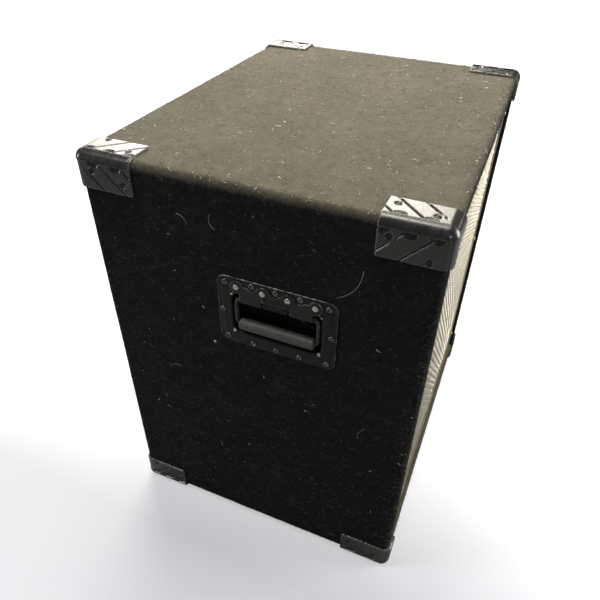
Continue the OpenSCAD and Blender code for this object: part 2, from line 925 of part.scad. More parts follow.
module handle_bail(side) {
    color("dimgray") on_side(side) translate([0, 0, hinge_z]) {
        for (y = [hinge_y, hinge_y - bail_len])
            bar([-arm_x, y, 0], [arm_x, y, 0], rod_r, $fn = 48);
        for (x = [-arm_x, arm_x]) {
            bar([x, hinge_y - bail_len, 0], [x, hinge_y, 0], rod_r, $fn = 48);
            for (y = [hinge_y, hinge_y - bail_len])
                translate([x, y, 0]) sphere(rod_r + 0.02, $fn = 48);
        }
    }
}

module handle_bail_left() {
    handle_bail(-1);
}

module handle_bail_right() {
    handle_bail(1);
}

module handle_grip(side) {
    half = arm_x - rod_r - 1;
    color("dimgray") on_side(side) translate([-half, hinge_y - bail_len, hinge_z]) rotate([0, 90, 0])
        difference() {
            cylinder(h = 2 * half, d = grip_d, $fn = 64);
            translate([0, 0, -1]) cylinder(h = 2 * half + 2, r = rod_r - 0.1, $fn = 48);
        }
}

module handle_grip_left() {
    handle_grip(-1);
}

module handle_grip_right() {
    handle_grip(1);
}

// ---- one line for each node ----

side_panel_left();
side_panel_right();
top_panel();
bottom_panel();
rear_panel();
baffle();
baffle_battens();
rear_battens();
grille_battens();
window_brace();
wadding_left();
wadding_right();
wadding_rear();
carpet_wrap();
carpet_rear();
corner_front_top_left();
corner_front_top_right();
corner_front_bottom_left();
corner_front_bottom_right();
corner_rear_top_left();
corner_rear_top_right();
corner_rear_bottom_left();
corner_rear_bottom_right();
corner_screws();
grille_frame();
grille_mesh();
grille_screws();
port_tube_left();
port_tube_right();
woofer_basket();
woofer_gasket();
woofer_top_plate();
woofer_magnet();
woofer_yoke();
woofer_surround();
woofer_spider();
woofer_terminals();
woofer_bolts();
woofer_tee_nuts();
woofer_cone();
woofer_dust_cap();
woofer_voice_coil();
jack_plate();
jack_sockets();
jack_plate_screws();
speaker_wires();
handle_dish_left();
handle_strap_left();
handle_rivets_left();
handle_screws_left();
handle_spring_left();
handle_bail_left();
handle_grip_left();
handle_dish_right();
handle_strap_right();
handle_rivets_right();
handle_screws_right();
handle_spring_right();
handle_bail_right();
handle_grip_right();
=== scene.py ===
"""Looks of the carpeted subwoofer cabinet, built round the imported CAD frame.

The frame is the CAD's: grille towards -Y, +Z up, floor at 0. Shapes are worked out in
millimetres, and make_object() turns them into metres. Materials, lights and camera are in metres.
"""

import json
import math

import bmesh
import bpy
import numpy as np
from mathutils import Matrix, Vector


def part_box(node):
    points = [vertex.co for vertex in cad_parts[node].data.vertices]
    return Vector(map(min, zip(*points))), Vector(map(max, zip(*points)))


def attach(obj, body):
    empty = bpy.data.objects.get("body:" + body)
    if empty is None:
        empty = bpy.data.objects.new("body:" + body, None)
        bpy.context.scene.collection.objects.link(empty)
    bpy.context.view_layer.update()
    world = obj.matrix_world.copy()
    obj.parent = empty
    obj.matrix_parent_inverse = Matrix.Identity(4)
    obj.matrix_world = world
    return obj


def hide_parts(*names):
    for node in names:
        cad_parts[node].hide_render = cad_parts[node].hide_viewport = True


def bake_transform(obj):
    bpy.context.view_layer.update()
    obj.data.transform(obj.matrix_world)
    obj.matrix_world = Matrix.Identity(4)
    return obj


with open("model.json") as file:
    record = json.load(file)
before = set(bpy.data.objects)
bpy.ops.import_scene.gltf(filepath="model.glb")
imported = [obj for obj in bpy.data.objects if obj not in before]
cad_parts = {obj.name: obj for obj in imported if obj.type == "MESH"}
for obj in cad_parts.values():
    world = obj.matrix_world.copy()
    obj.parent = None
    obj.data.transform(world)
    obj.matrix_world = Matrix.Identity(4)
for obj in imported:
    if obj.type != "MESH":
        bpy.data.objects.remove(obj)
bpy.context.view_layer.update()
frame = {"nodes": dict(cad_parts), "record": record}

MM = 0.001
ROOT = "cabinet"
rng = np.random.default_rng(7)

# ------------------------------------------------------------------ places taken from the frame


def box_mm(node):
    """The lowest and highest corners of a CAD node, in millimetres."""
    return [np.array(corner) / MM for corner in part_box(node)]


CARPET_LOW, CARPET_HIGH = box_mm("carpet_wrap")
CORNER_LOW, CORNER_HIGH = box_mm("corner_rear_top_right")
DISH_LOW, DISH_HIGH = box_mm("handle_dish_left")
MESH_LOW, MESH_HIGH = box_mm("grille_mesh")
FRAME_LOW, FRAME_HIGH = box_mm("grille_frame")
GASKET_LOW, GASKET_HIGH = box_mm("woofer_gasket")
PLATE_LOW, PLATE_HIGH = box_mm("jack_plate")
BAFFLE_FRONT = box_mm("baffle")[0][1]

WIDTH, DEPTH, HEIGHT = CARPET_HIGH - CARPET_LOW
CENTRE = (CARPET_LOW + CARPET_HIGH) / 2
CORNER_T = CORNER_HIGH[0] - CARPET_HIGH[0]
LEG_W, LEG_D, LEG_H = CORNER_HIGH - CORNER_LOW - CORNER_T
HANDLE_Y = (DISH_LOW[1] + DISH_HIGH[1]) / 2
HANDLE_Z = (DISH_LOW[2] + DISH_HIGH[2]) / 2
# radius of the cabinet's rounded edges, thickness of the carpet, width of the rim round the grille
EDGE_R = 10.0
CARPET_T = 2.0
RIM = 20.0
# half sizes round a handle's middle, along and up: the hole in the carpet, the patch with no fibres
HANDLE_HOLE = (69, 41)
HANDLE_CLEAR = (83, 55)
# half length of the patch with no fibres round the jack plate
JACK_CLEAR = 66
# a handle's opening is rubbed to bare metal at its corners: along, below and above the middle
RUBBED_ALONG, RUBBED_BELOW, RUBBED_ABOVE = 60.5, 32.5, 28
# how far the middle of the nap lies under the CAD carpet's face
NAP_SINK = 0.3
# turns a shape that faces +Z so that it faces the front
FACE_FRONT = Matrix.Rotation(math.pi / 2, 4, "X")

# ------------------------------------------------------------------ geometry helpers


def smoothstep(low, high, x):
    """0 below low, 1 above high, and a smooth rise between them."""
    t = np.clip((x - low) / (high - low), 0, 1)
    return t * t * (3 - 2 * t)


def lattice_noise(points, cell, seed):
    """Smooth noise from -1 to 1 at each row of points; cell is the size of its grain."""
    p = points / cell + 100.0
    base = np.floor(p).astype(np.int64)
    f = p - base
    f = f * f * (3 - 2 * f)
    total = np.zeros(len(p))
    for corner in np.ndindex(2, 2, 2):
        q = base + corner
        h = (q[:, 0] * 73856093) ^ (q[:, 1] * 19349663) ^ (q[:, 2] * 83492791) ^ (seed * 2654435761)
        h = (h ^ (h >> 13)) * 1274126177 & 0x7FFFFFFF
        weight = np.prod(np.where(corner, f, 1 - f), axis=1)
        total += weight * (h / 0x3FFFFFFF - 1)
    return total


def make_object(name, verts_mm, faces, mat, smooth=True, crease=None):
    """A mesh object from millimetre vertices."""
    mesh = bpy.data.meshes.new(name)
    mesh.from_pydata((np.asarray(verts_mm) * MM).tolist(), [], [tuple(map(int, f)) for f in faces])
    mesh.validate()
    shape = bmesh.new()
    shape.from_mesh(mesh)
    bmesh.ops.recalc_face_normals(shape, faces=shape.faces)
    shape.to_mesh(mesh)
    shape.free()
    mesh.polygons.foreach_set("use_smooth", [smooth] * len(mesh.polygons))
    if crease is not None:
        mesh.set_sharp_from_angle(angle=math.radians(crease))
    mesh.materials.append(mat)
    obj = bpy.data.objects.new(name, mesh)
    bpy.context.scene.collection.objects.link(obj)
    return obj


def join_parts(parts):
    """Many (verts, faces) pairs as one pair."""
    verts, faces, base = [], [], 0
    for v, f in parts:
        verts.append(np.asarray(v, float))
        faces.extend([tuple(i + base for i in face) for face in f])
        base += len(v)
    return np.concatenate(verts), faces


def moved(part, matrix):
    """The same part after a 4x4 matrix; mirrored faces are turned back outwards."""
    verts, faces = part
    m = np.array(matrix)
    out = np.asarray(verts) @ m[:3, :3].T + m[:3, 3]
    if np.linalg.det(m[:3, :3]) < 0:
        faces = [tuple(reversed(f)) for f in faces]
    return out, faces


def loft(rings, closed_path=False, caps=True):
    """Skin over rings that all have the same number of points, each ring a closed loop."""
    rings = [np.asarray(r, float) for r in rings]
    n = len(rings[0])
    count = len(rings)
    faces = []
    for k in range(count if closed_path else count - 1):
        a, b = k * n, ((k + 1) % count) * n
        for i in range(n):
            j = (i + 1) % n
            faces.append((a + i, a + j, b + j, b + i))
    if caps and not closed_path:
        faces.append(tuple(reversed(range(n))))
        faces.append(tuple(range((count - 1) * n, count * n)))
    return np.concatenate(rings), faces


def lathe(profile, segments=96):
    """A closed (radius, level) outline turned round z; its points go outwards then back."""
    angles = np.linspace(0, 2 * math.pi, segments, endpoint=False)
    profile = np.asarray(profile, float)
    radii, levels = profile.T
    rings = [np.c_[radii * math.cos(a), radii * math.sin(a), levels] for a in angles]
    return loft(rings, closed_path=True)


def lathe_solid(profile, segments=48):
    """A solid of revolution: the (radius, level) outline starts and ends on the axis."""
    (_, z_first), *middle, (_, z_last) = profile
    rings = [ring(r, segments, z) for r, z in middle]
    verts, faces = loft(rings, caps=False)
    first, last = len(verts), len(verts) + 1
    verts = np.vstack([verts, [0, 0, z_first], [0, 0, z_last]])
    top = (len(middle) - 1) * segments
    for i in range(segments):
        j = (i + 1) % segments
        faces.append((first, j, i))
        faces.append((last, top + i, top + j))
    return verts, faces


def tube(points, radius, sides=8, closed=False):
    """A round wire along a path of points."""
    p = np.asarray(points, float)
    n = len(p)
    if closed:
        tangent = np.roll(p, -1, 0) - np.roll(p, 1, 0)
    else:
        tangent = np.gradient(p, axis=0)
    tangent /= np.linalg.norm(tangent, axis=1)[:, None]
    normal = np.cross(tangent[0], [0.31, 0.17, 0.93])
    normal /= np.linalg.norm(normal)
    angles = np.linspace(0, 2 * math.pi, sides, endpoint=False)
    rings = []
    for k in range(n):
        normal = normal - tangent[k] * (normal @ tangent[k])
        normal /= np.linalg.norm(normal)
        side = np.cross(tangent[k], normal)
        r = radius[k] if np.ndim(radius) else radius
        rings.append(p[k] + r * (np.cos(angles)[:, None] * normal + np.sin(angles)[:, None] * side))
    return loft(rings, closed_path=closed)


def arc(cx, cy, r, start, end, count):
    """Points of a circular arc, angles in degrees."""
    a = np.radians(np.linspace(start, end, count))
    return np.c_[cx + r * np.cos(a), cy + r * np.sin(a)]


def rounded_loop(w, h, r, n_w=24, n_h=16, n_arc=8):
    """A centred rectangle with round corners as a loop whose point count doesn't depend on size."""
    x, y = w / 2 - r, h / 2 - r
    line_w = np.linspace(-x, x, n_w, endpoint=False)[1:]
    line_h = np.linspace(-y, y, n_h, endpoint=False)[1:]
    return np.concatenate([
        np.c_[line_w, np.full(len(line_w), -h / 2)],
        arc(x, -y, r, -90, 0, n_arc),
        np.c_[np.full(len(line_h), w / 2), line_h],
        arc(x, y, r, 0, 90, n_arc),
        np.c_[line_w[::-1], np.full(len(line_w), h / 2)],
        arc(-x, y, r, 90, 180, n_arc),
        np.c_[np.full(len(line_h), -w / 2), line_h[::-1]],
        arc(-x, -y, r, 180, 270, n_arc),
    ])


def ring(radius, count, z):
    """Points round z at one level; radius is one number, or one for each point."""
    angles = np.linspace(0, 2 * math.pi, count, endpoint=False)
    return np.c_[radius * np.cos(angles), radius * np.sin(angles), np.full(count, z)]


def hexagon(half_flats, count=48):
    """The radius of a hexagon at each of count angles."""
    angles = np.linspace(0, 2 * math.pi, count, endpoint=False)
    return half_flats / np.cos((angles + math.pi / 6) % (math.pi / 3) - math.pi / 6)


def at_level(loop, z):
    """A flat loop lifted to a level."""
    return np.c_[loop, np.full(len(loop), z)]


def slab(w, h, r, z0, z1, bevel):
    """A plate with round corners and softened top and bottom edges."""
    small = rounded_loop(w - 2 * bevel, h - 2 * bevel, max(r - bevel, 0.05))
    full = rounded_loop(w, h, r)
    return loft([at_level(small, z0), at_level(full, z0 + bevel),
                 at_level(full, z1 - bevel), at_level(small, z1)])


def thick_sheet(outer, inner, quads):
    """A closed shell from matching outer and inner points, stitched along every open edge."""
    n = len(outer)
    quads = np.asarray(quads)
    edges = np.concatenate([quads[:, [0, 1]], quads[:, [1, 2]], quads[:, [2, 3]], quads[:, [3, 0]]])
    known = set(map(tuple, edges.tolist()))
    rim = [(a, b) for a, b in known if (b, a) not in known]
    faces = quads.tolist() + (quads[:, ::-1] + n).tolist()
    faces += [(b, a, a + n, b + n) for a, b in rim]
    verts = np.concatenate([outer, inner])
    used = np.unique(np.concatenate([np.asarray(f) for f in faces]))
    index = np.full(len(verts), -1)
    index[used] = np.arange(len(used))
    return verts[used], [tuple(index[list(f)]) for f in faces]


def grid_quads(rows, cols, keep=None, wrap=False):
    """Quads of a rows x cols grid of points; keep(row, col) may drop some."""
    i, j = np.meshgrid(np.arange(rows - 1), np.arange(cols if wrap else cols - 1), indexing="ij")
    i, j = i.ravel(), j.ravel()
    if keep is not None:
        chosen = keep(i, j)
        i, j = i[chosen], j[chosen]
    k = (j + 1) % cols
    return np.c_[i * cols + j, i * cols + k, (i + 1) * cols + k, (i + 1) * cols + j]


# ------------------------------------------------------------------ material helper


class Paint:
    """Grows a Principled material out of procedural nodes, in object coordinates in metres."""

    def __init__(self, name, **values):
        self.mat = bpy.data.materials.new(name)
        self.mat.use_nodes = True
        self.tree = self.mat.node_tree
        self.bsdf = self.tree.nodes["Principled BSDF"]
        self.coords = self.tree.nodes.new("ShaderNodeTexCoord").outputs["Object"]
        self.set(**values)

    def feed(self, socket, value):
        if hasattr(value, "is_output"):
            self.tree.links.new(value, socket)
        elif isinstance(value, (tuple, list)) and socket.type == "RGBA":
            socket.default_value = (*value[:3], 1)
        else:
            socket.default_value = value

    def set(self, **values):
        for key, value in values.items():
            self.feed(self.bsdf.inputs[key.replace("_", " ")], value)
        return self

    def stretch(self, scale):
        node = self.tree.nodes.new("ShaderNodeMapping")
        self.feed(node.inputs["Vector"], self.coords)
        node.inputs["Scale"].default_value = scale
        return node.outputs["Vector"]

    def texture(self, kind, stretch=None, **values):
        node = self.tree.nodes.new("ShaderNodeTex" + kind)
        self.feed(node.inputs["Vector"], self.stretch(stretch) if stretch else self.coords)
        for key, value in values.items():
            node.inputs[key].default_value = value
        return node

    def noise(self, scale, detail=3, rough=0.6, stretch=None):
        return self.texture("Noise", stretch, Scale=scale, Detail=detail, Roughness=rough).outputs["Fac"]

    def cells(self, scale):
        return self.texture("Voronoi", Scale=scale).outputs["Distance"]

    def wave(self, scale, distortion, direction):
        node = self.texture("Wave", Scale=scale, Distortion=distortion)
        node.bands_direction = direction
        return node.outputs["Fac"]

    def ramp(self, fac, *stops):
        node = self.tree.nodes.new("ShaderNodeValToRGB")
        self.feed(node.inputs["Fac"], fac)
        elements = node.color_ramp.elements
        while len(elements) < len(stops):
            elements.new(0.5)
        for element, (place, color) in zip(elements, stops):
            element.position = place
            value = (color,) * 3 if np.isscalar(color) else color
            element.color = (*value, 1)
        return node.outputs["Color"]

    def blend(self, fac, a, b, mode="MIX"):
        node = self.tree.nodes.new("ShaderNodeMix")
        node.data_type = "RGBA"
        node.blend_type = mode
        self.feed(node.inputs["Factor"], fac)
        self.feed(node.inputs[6], a)
        self.feed(node.inputs[7], b)
        return node.outputs[2]

    def math(self, operation, a, b=0.0, clamp=False):
        node = self.tree.nodes.new("ShaderNodeMath")
        node.operation = operation
        node.use_clamp = clamp
        self.feed(node.inputs[0], a)
        self.feed(node.inputs[1], b)
        return node.outputs[0]

    def facing(self, axis, power):
        """How far the surface faces along +axis (0 X, 1 Y, 2 Z), 0 to 1, raised to a power."""
        geometry = self.tree.nodes.new("ShaderNodeNewGeometry")
        split = self.tree.nodes.new("ShaderNodeSeparateXYZ")
        self.feed(split.inputs[0], geometry.outputs["True Normal"])
        value = self.math("MAXIMUM", split.outputs[axis], 0.0)
        return self.math("POWER", value, power)

    def pointed(self):
        """Bright on worn outer edges, dark in hollows."""
        return self.tree.nodes.new("ShaderNodeNewGeometry").outputs["Pointiness"]

    def island(self):
        """A random number for each separate piece of the mesh."""
        return self.tree.nodes.new("ShaderNodeNewGeometry").outputs["Random Per Island"]

    def bump(self, height, strength, distance):
        node = self.tree.nodes.new("ShaderNodeBump")
        node.inputs["Strength"].default_value = strength
        node.inputs["Distance"].default_value = distance
        self.feed(node.inputs["Height"], height)
        return node.outputs["Normal"]


# ------------------------------------------------------------------ materials


def carpet_material():
    """Needled charcoal felt with tangled grain. Faces that look up are lighter, partly fading and dust and
    partly painted light from above.
    """
    p = Paint("carpet", Roughness=1.0, Specular_IOR_Level=0.08)
    up = p.facing(2, 0.85)
    grain = p.noise(900, 5, 0.75)
    tangle = p.noise(260, 4, 0.7, stretch=(1, 2.2, 1))
    patches = p.noise(9, 5, 0.62)
    dark = p.ramp(grain, (0.28, (0.008, 0.0079, 0.0085)), (0.75, (0.031, 0.0305, 0.0315)))
    # a lighter colour for faces that look up: partly dust and fading, partly painted light from above
    dusty_and_lit_top = p.ramp(grain, (0.25, (0.082, 0.074, 0.053)), (0.78, (0.200, 0.181, 0.130)))
    dusty_and_lit_top = p.blend(0.5, dusty_and_lit_top, p.ramp(tangle, (0.3, 0.55), (0.7, 1.0)), "MULTIPLY")
    # where that lighter colour goes: faces that look up, in patches; partly dust, partly painted top light
    dust = p.math("MULTIPLY", up, p.ramp(patches, (0.2, 0.75), (0.8, 1.0)), clamp=True)
    color = p.blend(dust, dark, dusty_and_lit_top)
    color = p.blend(0.35, color, p.ramp(patches, (0.3, 0.7), (0.7, 1.3)), "MULTIPLY")
    smears = p.ramp(p.noise(11, 6, 0.8, stretch=(1, 1, 1.6)), (0.56, 0.0), (0.74, 0.55))
    color = p.blend(p.math("MULTIPLY", smears, 0.6), color, (0.075, 0.073, 0.066))
    clumps = p.noise(70, 5, 0.72)
    color = p.blend(0.6, color, p.ramp(clumps, (0.3, 0.62), (0.7, 1.42)), "MULTIPLY")
    height = p.math("ADD", p.math("MULTIPLY", grain, 0.6), tangle)
    p.set(Base_Color=color, Sheen_Weight=p.math("MULTIPLY", up, 0.25), Sheen_Roughness=0.5,
          Sheen_Tint=(0.9, 0.88, 0.8))
    p.set(Normal=p.bump(height, 0.9, 0.0012))
    return p.mat


def fibre_material(name, dark, light, top_light_and_dust_gain):
    """Loose carpet fibres: each one its own shade; lighter on top faces, partly dust and partly painted
    light from above.
    """
    p = Paint(name, Roughness=0.8, Specular_IOR_Level=0.15)
    tone = p.ramp(p.island(), (0.0, dark), (0.75, light), (1.0, tuple(min(1, 2.2 * c) for c in light)))
    # painted light: fibres on faces that look up are multiplied brighter, partly for dust, partly for light
    # from above
    lifted = p.blend(1.0, tone, (top_light_and_dust_gain, top_light_and_dust_gain, top_light_and_dust_gain * 0.86), "MULTIPLY")
    p.set(Base_Color=p.blend(p.facing(2, 0.5), tone, lifted))
    return p.mat


def lint_material():
    p = Paint("lint", Roughness=0.7, Specular_IOR_Level=0.3)
    p.set(Base_Color=p.ramp(p.island(), (0.0, (0.45, 0.43, 0.38)), (1.0, (0.92, 0.9, 0.84))))
    return p.mat


def corner_plastic_material():
    """Moulded black plastic: satin, finely stippled, greyed where it has been knocked."""
    p = Paint("corner_plastic")
    stipple = p.noise(2600, 2, 0.5)
    scuffs = p.noise(60, 6, 0.7, stretch=(1, 3.5, 1))
    worn = p.math("MULTIPLY", p.ramp(p.pointed(), (0.5, 0.0), (0.56, 1.0)),
                  p.ramp(scuffs, (0.35, 0.2), (0.7, 1.0)))
    base = p.ramp(scuffs, (0.3, (0.012, 0.012, 0.013)), (0.75, (0.026, 0.025, 0.024)))
    p.set(Base_Color=p.blend(worn, base, (0.20, 0.195, 0.18)))
    p.set(Roughness=p.ramp(scuffs, (0.25, 0.19), (0.8, 0.36)), Specular_IOR_Level=0.95)
    p.set(Normal=p.bump(p.math("ADD", stipple, scuffs), 0.14, 0.00025))
    return p.mat


def metal_material(name, color, rough, scratch=0.25, brushed=(1, 1, 1)):
    """Bare or plated metal with fine scratches and dull patches."""
    p = Paint(name, Metallic=1.0)
    patches = p.noise(45, 5, 0.65)
    lines = p.noise(700, 3, 0.6, stretch=brushed)
    shade = tuple(0.72 * c for c in color)
    p.set(Base_Color=p.ramp(patches, (0.3, shade), (0.7, color)))
    p.set(Roughness=p.ramp(p.math("ADD", p.math("MULTIPLY", patches, 0.5), p.math("MULTIPLY", lines, 0.5)),
                           (0.3, max(rough - 0.12, 0.05)), (0.7, rough + 0.14)))
    p.set(Normal=p.bump(lines, scratch, 0.0001))
    return p.mat


def enamel_material(name, color, chip, rough=0.46, spots=()):
    """Black paint over steel: orange peel, and edges rubbed to bare metal."""
    p = Paint(name)
    peel = p.noise(900, 2, 0.5)
    wear = p.noise(150, 6, 0.75)
    bare = p.math("MULTIPLY", p.ramp(p.pointed(), (0.52, 0.0), (0.6, 1.0)),
                  p.ramp(wear, (0.42, 0.0), (0.6, 1.0)))
    for y in spots:
        for z in (HANDLE_Z - RUBBED_BELOW, HANDLE_Z + RUBBED_ABOVE):
            gap = p.tree.nodes.new("ShaderNodeVectorMath")
            gap.operation = "DISTANCE"
            p.feed(gap.inputs[0], p.stretch((0, 1, 1)))
            gap.inputs[1].default_value = (0, y * MM, z * MM)
            ragged = p.math("ADD", gap.outputs["Value"], p.math("MULTIPLY", wear, 0.006))
            rubbed = p.math("LESS_THAN", ragged, 0.0052)
            bare = p.math("MAXIMUM", bare, rubbed)
    base = p.ramp(wear, (0.3, color), (0.8, tuple(1.7 * c for c in color)))
    p.set(Base_Color=p.blend(bare, base, chip), Metallic=p.math("MULTIPLY", bare, 0.9))
    p.set(Roughness=p.ramp(wear, (0.3, rough - 0.08), (0.75, rough + 0.14)), Specular_IOR_Level=0.35)
    p.set(Normal=p.bump(p.math("ADD", peel, p.math("MULTIPLY", wear, 0.5)), 0.2, 0.0002))
    return p.mat


def wood_material(name, light, dark):
    """Plywood: long grain on the faces."""
    p = Paint(name, Specular_IOR_Level=0.3)
    grain = p.noise(28, 6, 0.6, stretch=(6, 1.2, 0.35))
    pores = p.noise(900, 3, 0.6, stretch=(1, 1, 0.08))
    color = p.ramp(grain, (0.3, dark), (0.55, light), (0.8, tuple(0.85 * c for c in light)))
    p.set(Base_Color=p.blend(0.4, color, p.ramp(pores, (0.35, 0.6), (0.6, 1.0)), "MULTIPLY"))
    p.set(Roughness=p.ramp(pores, (0.3, 0.5), (0.7, 0.75)), Normal=p.bump(pores, 0.3, 0.0003))
    return p.mat


def textured_paint_material(name, color, grain_scale, rough=0.6, relief=0.0006):
    """Rolled or wrinkle paint with a pebbled surface."""
    p = Paint(name, Specular_IOR_Level=0.4)
    pebbles = p.cells(grain_scale)
    dust = p.noise(30, 5, 0.6)
    p.set(Base_Color=p.ramp(dust, (0.3, color), (0.8, tuple(1.8 * c + 0.004 for c in color))))
    p.set(Roughness=p.ramp(dust, (0.3, rough - 0.1), (0.7, rough + 0.15)),
          Normal=p.bump(pebbles, 0.5, relief))
    return p.mat


def cone_material():
    """Pressed paper pulp: felted fibres and faint rings."""
    p = Paint("cone_paper", Roughness=0.85, Specular_IOR_Level=0.25)
    pulp = p.noise(420, 5, 0.75)
    blotch = p.noise(24, 4, 0.6)
    tone = p.math("ADD", p.math("MULTIPLY", pulp, 0.7), p.math("MULTIPLY", blotch, 0.3))
    p.set(Base_Color=p.ramp(tone, (0.3, (0.028, 0.028, 0.029)), (0.7, (0.075, 0.074, 0.072))))
    p.set(Normal=p.bump(pulp, 0.5, 0.0005))
    return p.mat


def weave_material(name, dark, light, scale):
    """Fine cloth: two crossed sets of threads."""
    p = Paint(name, Roughness=0.8, Sheen_Weight=0.2)
    weave = p.math("MULTIPLY", p.wave(scale, 0.4, "X"), p.wave(scale, 0.4, "Z"))
    p.set(Base_Color=p.ramp(weave, (0.1, dark), (0.7, light)), Normal=p.bump(weave, 0.5, 0.0003))
    return p.mat


def plastic_material(name, color, rough, relief=0.15, grain=1800):
    """Moulded plastic or rubber with a fine skin."""
    p = Paint(name, Specular_IOR_Level=0.5)
    skin = p.noise(grain, 3, 0.6)
    stain = p.noise(40, 5, 0.65)
    dark, light = (tuple(gain * c for c in color) for gain in (0.8, 1.35))
    p.set(Base_Color=p.ramp(stain, (0.3, dark), (0.75, light)))
    p.set(Roughness=p.ramp(stain, (0.3, rough - 0.08), (0.75, rough + 0.12)),
          Normal=p.bump(skin, relief, 0.0002))
    return p.mat


def wadding_material():
    p = Paint("wadding", Roughness=1.0, Sheen_Weight=0.5)
    fluff = p.noise(70, 6, 0.7)
    p.set(Base_Color=p.ramp(fluff, (0.3, (0.55, 0.55, 0.53)), (0.7, (0.85, 0.85, 0.83))),
          Normal=p.bump(fluff, 1.0, 0.004))
    return p.mat


MATS = {
    "carpet": carpet_material(),
    "fibre": fibre_material("fibre", (0.010, 0.010, 0.011), (0.045, 0.044, 0.041), 5.2),
    "lint": lint_material(),
    "corner_plastic": corner_plastic_material(),
    "black_screw": metal_material("black_screw", (0.24, 0.24, 0.24), 0.26),
    "corner_screw": metal_material("corner_screw", (0.06, 0.06, 0.062), 0.42),
    "zinc_screw": metal_material("zinc_screw", (0.86, 0.82, 0.70), 0.28),
    "grille_steel": metal_material("grille_steel", (0.84, 0.80, 0.68), 0.34),
    "handle_steel": enamel_material("handle_steel", (0.0075, 0.0075, 0.008), (0.62, 0.60, 0.56),
                                    spots=(HANDLE_Y - RUBBED_ALONG, HANDLE_Y + RUBBED_ALONG)),
    "hinge_steel": enamel_material("hinge_steel", (0.015, 0.015, 0.016), (0.45, 0.44, 0.42), 0.4),
    "grip_rubber": plastic_material("grip_rubber", (0.092, 0.091, 0.084), 0.5, 0.3, 1400),
    "spring_steel": metal_material("spring_steel", (0.10, 0.10, 0.10), 0.35),
    "plywood": wood_material("plywood", (0.60, 0.43, 0.25), (0.36, 0.23, 0.12)),
    "painted_wood": textured_paint_material("painted_wood", (0.012, 0.012, 0.0125), 260, 0.62),
    "driver_frame": textured_paint_material("driver_frame", (0.02, 0.02, 0.021), 900, 0.45, 0.0003),
    "plate_metal": textured_paint_material("plate_metal", (0.018, 0.018, 0.019), 1500, 0.45, 0.0002),
    "plated_steel": metal_material("plated_steel", (0.7, 0.7, 0.69), 0.35),
    "ferrite": plastic_material("ferrite", (0.09, 0.09, 0.095), 0.7, 0.4, 500),
    "gasket_foam": plastic_material("gasket_foam", (0.022, 0.022, 0.022), 0.85, 0.5, 900),
    "surround_cloth": weave_material("surround_cloth", (0.012, 0.012, 0.012), (0.05, 0.05, 0.05), 380),
    "spider_cloth": weave_material("spider_cloth", (0.40, 0.26, 0.09), (0.68, 0.48, 0.2), 300),
    "cone_paper": cone_material(),
    "coil_copper": metal_material("coil_copper", (0.78, 0.40, 0.2), 0.3),
    "port_plastic": plastic_material("port_plastic", (0.02, 0.02, 0.02), 0.42),
    "socket_plastic": plastic_material("socket_plastic", (0.022, 0.022, 0.023), 0.3),
    "wire": plastic_material("wire", (0.42, 0.025, 0.02), 0.4),
    "wadding": wadding_material(),
}


def piece(name, part, material, body, replaces=(), crease=None, smooth=True):
    """One finished piece: a mesh in place, riding on its body and standing for its CAD nodes."""
    obj = make_object(name, part[0], part[1], MATS[material], smooth=smooth, crease=crease)
    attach(obj, body)
    if replaces:
        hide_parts(*replaces)
    return obj


# CAD nodes that stay take their slot's material
SLOT_OF = {row["node"]: row["material_slot"] for row in frame["record"]["subparts"]}
for node_name, node_obj in frame["nodes"].items():
    node_obj.data.materials.clear()
    node_obj.data.materials.append(MATS[SLOT_OF[node_name]])

# ------------------------------------------------------------------ carpet


def carpet_profile():
    """The wrap's outline from the inner lip, over the rim, along the depth and round the rear.

    Each point is (inset from the side faces, depth from the front face).
    """
    lip = RIM + CARPET_T
    lip_end = FRAME_HIGH[1] - CARPET_LOW[1] - 0.5
    soft = 1.6
    front = [(lip, d) for d in np.linspace(lip_end, soft + 1, 5)]
    front += [(lip - soft + x, soft - y) for x, y in arc(0, 0, soft, 0, 90, 5)]
    front += [(i, 0.0) for i in np.linspace(lip - soft - 2, EDGE_R + 0.5, 4)]
    edge = [(EDGE_R - x, EDGE_R - y) for x, y in arc(0, 0, EDGE_R, 90, 0, 9)]
    run = [(0.0, d) for d in np.linspace(EDGE_R, DEPTH - EDGE_R, 76)[1:-1]]
    rear = [(EDGE_R - x, DEPTH - EDGE_R + y) for x, y in arc(0, 0, EDGE_R, 0, 90, 9)]
    rear += [(i, DEPTH) for i in np.linspace(EDGE_R + 1, RIM, 4)]
    return front + edge + run + rear


def carpet_sheet(offset):
    """The wrap's points (stations x loop), grown outwards by offset."""
    rows = []
    for inset, depth in carpet_profile():
        d = min(max(depth, -offset), DEPTH + offset)
        if inset >= RIM + CARPET_T - 0.01:
            i = inset - offset
        elif inset > EDGE_R:
            i = inset
            d = depth - offset if depth < DEPTH / 2 else depth + offset
        else:
            # along the rounded edge the skin grows away from the edge's own centre
            centre_d = EDGE_R if depth < DEPTH / 2 else DEPTH - EDGE_R
            out = Vector((EDGE_R - inset, depth - centre_d))
            if 0 < inset or abs(depth - centre_d) < 1e-6:
                out.normalize()
            else:
                out = Vector((1.0, 0.0))
            i = inset - out.x * offset
            d = depth + out.y * offset
        r = max(EDGE_R - inset, 1.5)
        loop = rounded_loop(WIDTH - 2 * i, HEIGHT - 2 * i, r, n_w=98, n_h=108, n_arc=8)
        rows.append(np.c_[loop[:, 0], np.full(len(loop), CARPET_LOW[1] + d), loop[:, 1] + CENTRE[2]])
    return np.array(rows)


def near_handle(points, half_size):
    """True within half_size, along and up, of a handle's middle."""
    return ((np.abs(points[:, 1] - HANDLE_Y) < half_size[0])
            & (np.abs(points[:, 2] - HANDLE_Z) < half_size[1]))


